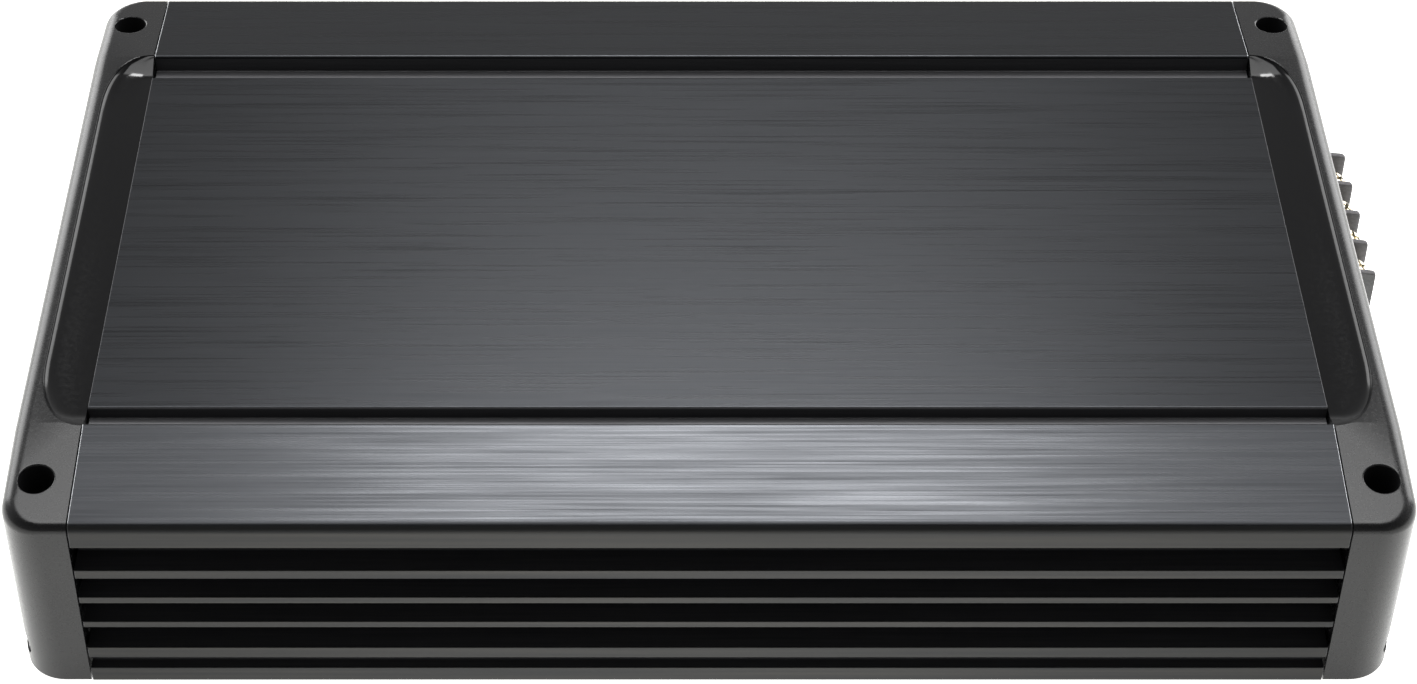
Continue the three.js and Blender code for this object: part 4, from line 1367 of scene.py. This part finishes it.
@dataclass
class Fuses:
    """Two blade fuses in their holder."""

    holder_edge: float = 0.5
    seat_depth: float = 2.6
    seat_gap: float = 0.4
    blade: tuple[float, float] = (0.65, 5.2)
    blade_offset: float = 6.7
    head: float = 9.6
    wire: float = 0.5

    def pieces(self) -> list[Piece]:
        """The holder, then each fuse's clear body and its metal link."""
        low, high = low_high("fuse_holder")
        outline = rectangle(low.y, high.y, low.z, high.z, 0.8)
        shape = Shape().prism(Axis.X, outline, low.x, high.x, self.holder_edge)
        changes = []
        made = []
        for i in (1, 2):
            a, b = low_high(f"fuse_{i}")
            gap = self.seat_gap
            seat = rectangle(a.y - gap, b.y + gap, a.z - gap, b.z + gap, 1.2)
            tool = Shape().prism(Axis.X, seat, high.x - self.seat_depth, high.x + 1)
            changes.append((Cut.AWAY, tool))
            y, z = middle_of(a, b)
            for side in (-1, 1):
                slot = self._blade(y, z + side * self.blade_offset, self.seat_gap)
                changes.append((Cut.AWAY, Shape().prism(Axis.X, slot, a.x - 1, high.x)))
            made += self._fuse(i, y, z, a, b)
        holder = Piece(
            "fuse_socket", shape, (NYLON,), ("fuse_holder",), "black_plastic", changes=changes
        )
        return [holder] + made

    def _blade(self, y: float, z: float, room: float = 0.0) -> Outline:
        """A blade's outline, or a slot's with some room round it."""
        thick, wide = self.blade
        low = (y - thick / 2 - room, z - wide / 2 - room)
        high = (y + thick / 2 + room, z + wide / 2 + room)
        return rectangle(low[0], high[0], low[1], high[1], 0.2, 2)

    def _fuse(self, number: int, y: float, z: float, low: Vector, high: Vector) -> list[Piece]:
        """One fuse: a stepped clear body round two blades and the link between them."""
        back = high.x - self.head
        outer = rectangle(low.y, high.y, low.z, high.z, 1.0)
        waist = inset(outer, 0.45)
        rings = []
        for inward, along in ((0.35, 0.0), (0.0, 0.35), (0.0, 5.6)):
            rings.append(Axis.X.ring(inset(waist, inward), back + along))
        for inward, along in ((0.0, 6.0), (0.0, 9.0), (0.18, 9.42), (0.6, 9.6)):
            rings.append(Axis.X.ring(inset(outer, inward), back + along))
        body = Shape().loft(rings)
        pits = []
        for side in (-1, 1):
            pit = rectangle(y - 0.9, y + 0.9, z + side * 6.2 - 1.6, z + side * 6.2 + 1.6, 0.4)
            pits.append((Cut.AWAY, Shape().prism(Axis.X, pit, high.x - 0.9, high.x + 1)))
        link = Shape()
        for side in (-1, 1):
            blade = self._blade(y, z + side * self.blade_offset)
            link.prism(Axis.X, blade, low.x, high.x - 1.6, 0.12)
        bridge: list[Vector] = []
        for i in range(15):
            share = i / 14
            place = z + (2 * share - 1) * (self.blade_offset - 2.2)
            bridge.append(Vector((back + 5.2 + 1.7 * math.sin(2 * math.pi * share), place, 0.0)))
        rings = []
        for i, spot in enumerate(bridge):
            ahead = bridge[min(i + 1, 14)] - bridge[max(i - 1, 0)]
            across = Vector((ahead.y, -ahead.x, 0.0)).normalized() * self.wire
            ring = []
            for part, lift in ((1, -0.25), (1, 0.25), (-1, 0.25), (-1, -0.25)):
                q = spot + across * part
                ring.append(Vector((q.x, y + lift, q.y)))
            rings.append(ring)
        link.loft(rings)
        return [
            Piece(
                f"fuse_body_{number}",
                body,
                (FUSE,),
                (f"fuse_{number}",),
                "fuse_plastic",
                f"fuse_{number}",
                pits,
            ),
            Piece(
                f"fuse_link_{number}", link, (NICKEL,), slot="nickel_plate", body=f"fuse_{number}"
            ),
        ]


@dataclass
class SpeakerSocket:
    """The eight-pin speaker socket."""

    wall: float = 1.6
    cavity: float = 11.5
    edge: float = 0.4
    rib: float = 0.7
    pin_gap: float = 0.3
    point: float = 0.9

    def pieces(self) -> list[Piece]:
        """The shell and its pins."""
        low, high = low_high("speaker_socket")
        shape = Shape().prism(
            Axis.X, rectangle(low.y, high.y, low.z, high.z, 0.8), low.x, high.x, self.edge
        )
        wall = self.wall
        hollow = rectangle(low.y + wall, high.y - wall, low.z + wall, high.z - wall, 0.6)
        floor = high.x - self.cavity
        rings = [
            Axis.X.ring(hollow, floor),
            Axis.X.ring(hollow, high.x - 0.6),
            Axis.X.ring(inset(hollow, -0.5), high.x),
            Axis.X.ring(inset(hollow, -0.5), high.x + 1),
        ]
        changes = [(Cut.AWAY, Shape().loft(rings))]
        for share in (0.2, 0.5, 0.8):
            y = low.y + (high.y - low.y) * share
            root = high.z - wall
            key = rectangle(y - self.rib, y + self.rib, root - 0.7, root + 0.4, 0.25)
            changes.append((Cut.ADD, Shape().prism(Axis.X, key, floor - 0.5, high.x - 1.2, 0.1)))
        made = []
        for i in range(1, 9):
            a, b = low_high(f"speaker_pin_{i}")
            gap = self.pin_gap
            hole = rectangle(a.y - gap, b.y + gap, a.z - gap, b.z + gap, 0.15, 2)
            changes.append((Cut.AWAY, Shape().prism(Axis.X, hole, low.x - 1, floor + 1)))
            side = rectangle(a.y, b.y, a.z, b.z, 0.12, 2)
            tip = inset(side, 0.35)
            pin = Shape().loft(
                [
                    Axis.X.ring(tip, a.x),
                    Axis.X.ring(side, a.x + self.point),
                    Axis.X.ring(side, b.x - self.point),
                    Axis.X.ring(tip, b.x),
                ]
            )
            made.append(
                Piece(f"socket_pin_{i}", pin, (NICKEL,), (f"speaker_pin_{i}",), "nickel_plate")
            )
        shell = Piece(
            "socket_shell", shape, (NYLON,), ("speaker_socket",), "black_plastic", changes=changes
        )
        return [shell] + made


@dataclass
class InputJacks:
    """Four line sockets in two columns, white above red, on their block."""

    wall: float = 0.6
    core: float = 3.1
    setback: float = 1.4
    pin: float = 1.6
    pin_depth: float = 5.5

    def _jack(self, number: int) -> Piece:
        """One socket: plated barrel, coloured insulator and centre contact."""
        low, high = low_high(f"input_jack_{number}")
        radius = (high.z - low.z) / 2
        centre = middle_of(low, high)
        tip, face = low.x, low.x + self.setback
        profile = [
            (radius - 0.3, high.x),
            (radius, high.x - 0.3),
            (radius, tip + 3.4),
            (radius - 0.25, tip + 3.1),
            (radius - 0.25, tip + 2.7),
            (radius, tip + 2.4),
            (radius, tip + 0.3),
            (radius - 0.2, tip + 0.05),
            (radius - self.wall + 0.1, tip),
            (radius - self.wall, tip + 0.3),
            (radius - self.wall, high.x - 2.0),
            (self.core, high.x - 2.0),
            (self.core, face + 0.3),
            (self.core - 0.25, face),
            (self.pin + 0.3, face),
            (self.pin, face + 0.3),
            (self.pin, face + self.pin_depth),
        ]

        def finish(middle: Vector) -> int:
            """Plated barrel and contact, coloured insulator between them."""
            out = math.hypot(middle.y - centre[0], middle.z - centre[1])
            if out > radius - self.wall - 0.1 or out < self.pin * 1.01:
                return 0
            return 1

        rings = [Axis.X.ring(circle(r, 40, *centre), along) for r, along in profile]
        ring = WHITE_RING if number % 2 == 0 else RED_RING
        return Piece(
            f"line_socket_{number}",
            Shape().loft(rings, finish),
            (NICKEL, ring),
            (f"input_jack_{number}",),
            "nickel_plate",
        )

    def pieces(self) -> list[Piece]:
        """The four sockets."""
        return [self._jack(i) for i in range(1, 5)]


@dataclass
class Controls:
    """Fluted knobs, slide-switch levers and indicator lenses of the input end."""

    flutes: int = 18
    flute: float = 0.28
    slot_half: float = 0.4
    slot_depth: float = 0.7
    lever_groove: float = 0.25

    def _knob(self, name: str) -> Piece:
        """One knob on its stem, with a filled pointer slot."""
        low, high = low_high(f"{name}_knob")
        centre = Vector(middle_of(low, high))
        radius = (high.z - low.z) / 2
        front, back = low.x, low.x + 4.0
        outline: Outline = []
        count = self.flutes * 8
        for i in range(count):
            angle = 2 * math.pi * i / count
            depth = self.flute * max(0.0, math.cos(self.flutes * angle)) ** 2
            reach = radius - depth
            outline.append((centre.x + reach * math.cos(angle), centre.y + reach * math.sin(angle)))
        rings = [Axis.X.ring(circle(1.5, count, *centre), high.x)]
        rings.append(Axis.X.ring(circle(1.5, count, *centre), back))
        for inward, along in ((0.35, 0.0), (0.1, -0.1), (0.0, -0.35)):
            rings.append(Axis.X.ring(inset(outline, inward), back + along))
        for share, along in ((0.03, 0.9), (0.05, 0.45), (0.08, 0.15), (0.13, 0.0)):
            left = 1 - share
            ring = [
                (centre.x + (a - centre.x) * left, centre.y + (b - centre.y) * left)
                for a, b in outline
            ]
            rings.append(Axis.X.ring(ring, front + along))
        dish = [Axis.X.ring(circle(r, count, *centre), front + deep)
                for r, deep in ((radius * 0.74, 0.0), (radius * 0.68, 0.25))]
        half = self.slot_half
        slot = rectangle(
            centre.x - half, centre.x + half, centre.y + 0.6, centre.y + radius + 1, 0.1
        )
        tool = Shape().prism(Axis.X, slot, front - 1, front + self.slot_depth, finish=1)
        return Piece(
            f"{name}_dial",
            Shape().loft(rings + dish),
            (NYLON, INK),
            (f"{name}_knob",),
            "black_plastic",
            f"{name}_knob",
            ((Cut.AWAY, tool),),
        )

    def _lever(self, name: str) -> Piece:
        """One switch lever with gripping grooves."""
        low, high = low_high(f"{name}_lever")
        side = rectangle(low.y, high.y, low.z, high.z, 0.4)
        shape = Shape().prism(Axis.X, side, low.x, high.x, 0.25)
        middle = (low.y + high.y) / 2
        changes = []
        for offset in (-0.8, 0.0, 0.8):
            spot = middle + offset
            groove = rectangle(spot - 0.16, spot + 0.16, low.z - 1, high.z + 1, 0.05)
            tool = Shape().prism(Axis.X, groove, low.x - 1, low.x + self.lever_groove)
            changes.append((Cut.AWAY, tool))
        return Piece(
            f"{name}_slider",
            shape,
            (NYLON,),
            (f"{name}_lever",),
            "black_plastic",
            f"{name}_lever",
            changes,
        )

    def _lens(self, name: str, finish: Finish) -> Piece:
        """One domed indicator lens."""
        low, high = low_high(name)
        centre = middle_of(low, high)
        radius, flange = 1.5, (high.z - low.z) / 2
        profile = []
        for turn in (6, 20, 35, 50, 70, 90):
            angle = math.radians(turn)
            profile.append((radius * math.sin(angle), low.x + 1.5 * (1 - math.cos(angle))))
        root = high.x - 5.0
        profile += [(radius, root), (flange, root), (flange, high.x - 0.3), (flange - 0.3, high.x)]
        shape = Shape().turned(Axis.X, centre, profile, 32)
        slot = "blue_lens" if finish is BLUE_LENS else "red_lens"
        return Piece(f"{name}_lens", shape, (finish,), (name,), slot)

    def pieces(self) -> list[Piece]:
        """Four knobs, two levers and two lenses."""
        made = [self._knob(name) for name in CONTROLS]
        made += [self._lever(f"{row}_mode_switch") for row in ("front", "rear")]
        made.append(self._lens("power_led", BLUE_LENS))
        made.append(self._lens("protect_led", RED_LENS))
        return made


@dataclass
class PrintedScales:
    """Thin ink on the input end's panel: a scale round each knob, marks over the switches and a
    frame round the line sockets.
    """

    thickness: float = 0.05
    line: float = 0.35
    tick_inner: float = 5.2
    tick_outer: float = 6.4
    ticks: int = 11
    sweep: float = 150.0

    def pieces(self) -> list[Piece]:
        """The ink of the input end."""
        surface = low_high("end_panel_left")[0].x
        ink = Shape()
        for name in CONTROLS:
            low, high = low_high(f"{name}_knob")
            self._scale(ink, surface, *middle_of(low, high))
        for name in ("front_mode_switch", "rear_mode_switch"):
            low, high = low_high(f"{name}_lever")
            middle = (low.y + high.y) / 2
            for offset in (-2.0, 0.0, 2.0):
                a, b = middle + offset - self.line / 2, middle + offset + self.line / 2
                ink.prism(
                    Axis.X,
                    rectangle(a, b, high.z + 1.2, high.z + 2.4, 0.1, 2),
                    surface - self.thickness,
                    surface + 0.01,
                )
        boxes = [low_high(f"input_jack_{i}") for i in range(1, 5)]
        self._frame(
            ink,
            surface,
            min(a.y for a, b in boxes) - 2.2,
            max(b.y for a, b in boxes) + 2.2,
            min(a.z for a, b in boxes) - 2.2,
            max(b.z for a, b in boxes) + 2.2,
        )
        return [Piece("printed_scales", ink, (INK,))]

    def _scale(self, ink: Shape, surface: float, y: float, z: float) -> None:
        """Ticks round a knob, longer at the ends and the middle."""
        for i in range(self.ticks):
            share = 2 * i / (self.ticks - 1) - 1
            angle = math.radians(90 + share * self.sweep)
            outer = self.tick_outer + (0.7 if share in (-1, 0, 1) else 0.0)
            out = Vector((math.cos(angle), math.sin(angle)))
            across = Vector((-out.y, out.x)) * (self.line / 2)
            middle = Vector((y, z))
            corners = [
                middle + out * self.tick_inner - across,
                middle + out * outer - across,
                middle + out * outer + across,
                middle + out * self.tick_inner + across,
            ]
            outline = [tuple(p) for p in corners]
            ink.prism(Axis.X, outline, surface - self.thickness, surface + 0.01)

    def _frame(
        self, ink: Shape, surface: float, y0: float, y1: float, z0: float, z1: float
    ) -> None:
        """A thin rounded frame."""
        outer = rectangle(y0, y1, z0, z1, 2.0)
        inner = inset(outer, self.line)
        front, back = surface - self.thickness, surface + 0.01
        rings = [
            Axis.X.ring(outer, back),
            Axis.X.ring(outer, front),
            Axis.X.ring(inner, front),
            Axis.X.ring(inner, back),
            Axis.X.ring(outer, back),
        ]
        ink.loft(rings, caps=False)


@dataclass
class Inside:
    """The pieces on the circuit board, behind the covers."""

    wind_round: float = 6.0

    def pieces(self) -> list[Piece]:
        """The transformer, capacitors and transistor clamps."""
        return [self._transformer(), *(self._capacitor(i) for i in (1, 2))] + [
            self._clamp(side) for side in ("front", "back")
        ]

    def _transformer(self) -> Piece:
        """A ring core under its winding."""
        low, high = low_high("power_transformer")
        x, y = middle_of(low, high, Axis.Z)
        outer, inner = (high.x - low.x) / 2, 9.0
        section = rectangle(inner, outer, low.z, high.z, self.wind_round, 6)
        rings = [
            [Axis.Z.point(x + r * math.cos(t), y + r * math.sin(t), z) for r, z in section]
            for t in [2 * math.pi * i / 96 for i in range(97)]
        ]
        shape = Shape().loft(rings, caps=False)
        return Piece("toroid_winding", shape, (COPPER,), ("power_transformer",), "varnished_copper")

    def _capacitor(self, number: int) -> Piece:
        """A sleeved can with a crimp near its foot and a pale top."""
        low, high = low_high(f"filter_capacitor_{number}")
        centre = middle_of(low, high, Axis.Z)
        radius, foot, top = (high.x - low.x) / 2, low.z, high.z
        profile = [
            (radius - 0.4, foot),
            (radius, foot + 0.4),
            (radius, foot + 2.0),
            (radius - 0.5, foot + 2.5),
            (radius - 0.7, foot + 3.0),
            (radius - 0.5, foot + 3.5),
            (radius, foot + 4.0),
            (radius, top - 0.8),
            (radius - 0.25, top - 0.25),
            (radius - 0.9, top),
            (radius - 1.4, top - 0.1),
            (radius - 1.5, top - 0.3),
        ]
        rings = [Axis.Z.ring(circle(r, 48, *centre), z) for r, z in profile]

        def finish(middle: Vector) -> int:
            """Bare metal in the middle of the top, sleeve elsewhere."""
            out = math.hypot(middle.x - centre[0], middle.y - centre[1])
            return 1 if middle.z > top - 0.35 and out < radius - 1.3 else 0

        shape = Shape().loft(rings, finish)
        return Piece(
            f"capacitor_can_{number}",
            shape,
            (SLEEVE, MILL),
            (f"filter_capacitor_{number}",),
            "capacitor_sleeve",
        )

    def _clamp(self, side: str) -> Piece:
        """A bar that presses the transistors on the wall, with its screw holes."""
        low, high = low_high(f"transistor_clamp_{side}")
        bar = rectangle(low.y, high.y, low.z, high.z, 0.6)
        shape = Shape().prism(Axis.X, bar, low.x, high.x, 0.4)
        holes = []
        for share in (0.1, 0.37, 0.63, 0.9):
            spot = ((low.z + high.z) / 2, low.x + (high.x - low.x) * share)
            profile = [(1.8, low.y - 1), (1.8, high.y + 1)]
            holes.append((Cut.AWAY, Shape().turned(Axis.Y, spot, profile, 20)))
        return Piece(
            f"clamp_bar_{side}",
            shape,
            (MILL,),
            (f"transistor_clamp_{side}",),
            "bare_aluminium",
            changes=holes,
        )


# ------------------------------------------------------------------ studio


@dataclass
class Studio:
    """A pale floor, soft lights and the camera."""

    camera_at: tuple[float, float, float] = (-0.0125, -0.6232, 0.5776)
    camera_pitch: float = 41.98
    lens: float = 80.25
    shift: float = 0.037
    floor_half: float = 6.0
    # The table's glow: even far from the amplifier, and a painted pool of light round its foot that
    # cancels the contact shadow.
    painted_pool_half: tuple[float, float] = (0.32, 0.22)
    far_glow: float = 0.25
    painted_foot_glow: float = 3.6
    front_glow: float = 0.2
    back_glow: float = 0.6
    top_share: float = 0.3

    def build(self) -> None:
        """Makes the floor, world, lights and camera."""
        scene = bpy.context.scene
        scene.view_settings.view_transform = "Standard"
        self._floor()
        self._world()
        self._light("overhead", (0.0, 0.35, 1.4), (0.0, 0.35, 0.0), (2.0, 1.0), 26.0)
        self._light("key", (0.03, 0.75, 1.3), (0.0, 0.0, 0.05), (0.5, 0.3), 11.0)
        self._light("rim_left", (-1.05, 1.0, 0.34), (0.0, 0.0, 0.05), (0.9, 0.7), 8.0)
        self._light("rim_right", (1.05, 1.0, 0.34), (0.0, 0.0, 0.05), (0.9, 0.7), 8.0)
        data = bpy.data.cameras.new("camera")
        data.lens = self.lens
        data.sensor_width = 36.0
        data.shift_x = self.shift
        data.clip_start = 0.01
        camera = bpy.data.objects.new("camera", data)
        camera.location = self.camera_at
        camera.rotation_euler = (math.radians(90 - self.camera_pitch), 0.0, 0.0)
        scene.collection.objects.link(camera)
        scene.camera = camera

    def _light(
        self,
        name: str,
        place: tuple[float, float, float],
        target: tuple[float, float, float],
        size: tuple[float, float],
        power: float,
    ) -> None:
        """Adds a soft rectangular light aimed at a point.

        Args:
            name: the light's name.
            place: where it is, in metres.
            target: what it faces.
            size: its width and height in metres.
            power: in watts.
        """
        data = bpy.data.lights.new(name, "AREA")
        data.shape = "RECTANGLE"
        data.size, data.size_y = size
        data.energy = power
        lamp = bpy.data.objects.new(name, data)
        lamp.location = place
        aim = Vector(target) - Vector(place)
        lamp.rotation_euler = aim.to_track_quat("-Z", "Y").to_euler()
        bpy.context.scene.collection.objects.link(lamp)

    def _floor(self) -> None:
        """Adds the floor at the object's underside."""
        shape = Shape()
        half = self.floor_half / MM
        corners = [(-half, -half), (half, -half), (half, half), (-half, half)]
        shape.mesh.faces.new([shape.mesh.verts.new(Vector((a, b, 0.0))) for a, b in corners])
        floor = shape.thing("floor")
        material = TABLE.material()
        floor.data.materials.append(material)
        self._paint_glow_round_foot(material.node_tree)
        floor.location.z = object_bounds()[0].z - 0.0002
        floor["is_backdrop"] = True

    def _paint_glow_round_foot(self, tree: bpy.types.NodeTree) -> None:
        """Makes the table glow, most strongly around the amplifier's foot: a painted pool of light
        that cancels the foot's contact shadow.
        """
        place = add_node(tree, "ShaderNodeTexCoord").outputs["Object"]
        scales = tuple(1 / half for half in self.painted_pool_half) + (0.0,)
        fitted = add_node(tree, "ShaderNodeMapping", {"Vector": place, "Scale": scales})
        near = add_node(
            tree, "ShaderNodeTexGradient", {0: fitted.outputs[0]}, gradient_type="SPHERICAL"
        )
        glow = ramp(tree, near.outputs[1], (0.0, 1.0), (self.far_glow, self.painted_foot_glow))
        shader = next(node for node in tree.nodes if node.type == "BSDF_PRINCIPLED")
        tree.links.new(glow, shader.inputs["Emission Strength"])

    def _world(self) -> None:
        """Adds a dim surround: darker in front of the amplifier than low behind it."""
        world = bpy.data.worlds.new("studio")
        world.use_nodes = True
        tree = world.node_tree
        tree.nodes.clear()
        direction = add_node(tree, "ShaderNodeTexCoord").outputs["Generated"]
        parts = add_node(tree, "ShaderNodeSeparateXYZ", {0: direction})
        behind = ramp(tree, parts.outputs["Y"], (-0.3, 0.5), (self.front_glow, self.back_glow))
        above = ramp(tree, parts.outputs["Z"], (0.3, 0.8), (1.0, self.top_share))
        glow = combined(tree, "MULTIPLY", behind, above)
        air = add_node(
            tree, "ShaderNodeBackground", {"Color": (1.0, 1.0, 1.0, 1.0), "Strength": glow}
        )
        add_node(tree, "ShaderNodeOutputWorld", {"Surface": air.outputs[0]})
        bpy.context.scene.world = world


# ------------------------------------------------------------------ all together


KEPT_FINISHES: dict[str, Finish] = {
    "main_circuit_board": LAMINATE, "input_jack_block": NYLON, "front_": NYLON, "rear_": NYLON
}


def dress_kept_nodes(nodes: dict[str, bpy.types.Object]) -> list[str]:
    """Gives each CAD node that still shows its finish.

    Args:
        nodes: the frame's nodes by name.

    Returns:
        The names of the nodes dressed.
    """
    dressed = []
    for name, node in sorted(nodes.items()):
        if node.hide_render:
            continue
        found = [finish for start, finish in KEPT_FINISHES.items() if name.startswith(start)]
        if not found:
            raise ValueError(f"no finish is named for {name}")
        node.data.materials.clear()
        node.data.materials.append(found[0].material())
        dressed.append(name)
    return dressed


def main() -> None:
    """Builds the pieces around the frame, then the studio."""
    logging.basicConfig(level=logging.INFO, format="%(name)s: %(message)s")
    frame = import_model()
    section = Section()
    assemblies = [
        Housing(section),
        EndCap(section, 1),
        EndCap(section, -1),
        PowerTerminals(),
        Fuses(),
        SpeakerSocket(),
        Plates(),
        InputJacks(),
        Controls(),
        PrintedScales(),
        Inside(),
    ]
    for assembly in assemblies:
        for piece in assembly.pieces():
            made = piece.make()
            log.info("%s: %d faces, rides on %s", made.name, len(made.data.polygons), piece.body)
    log.info("kept CAD nodes dressed: %s", ", ".join(dress_kept_nodes(frame["nodes"])))
    Studio().build()


if __name__ == "__main__":
    main()
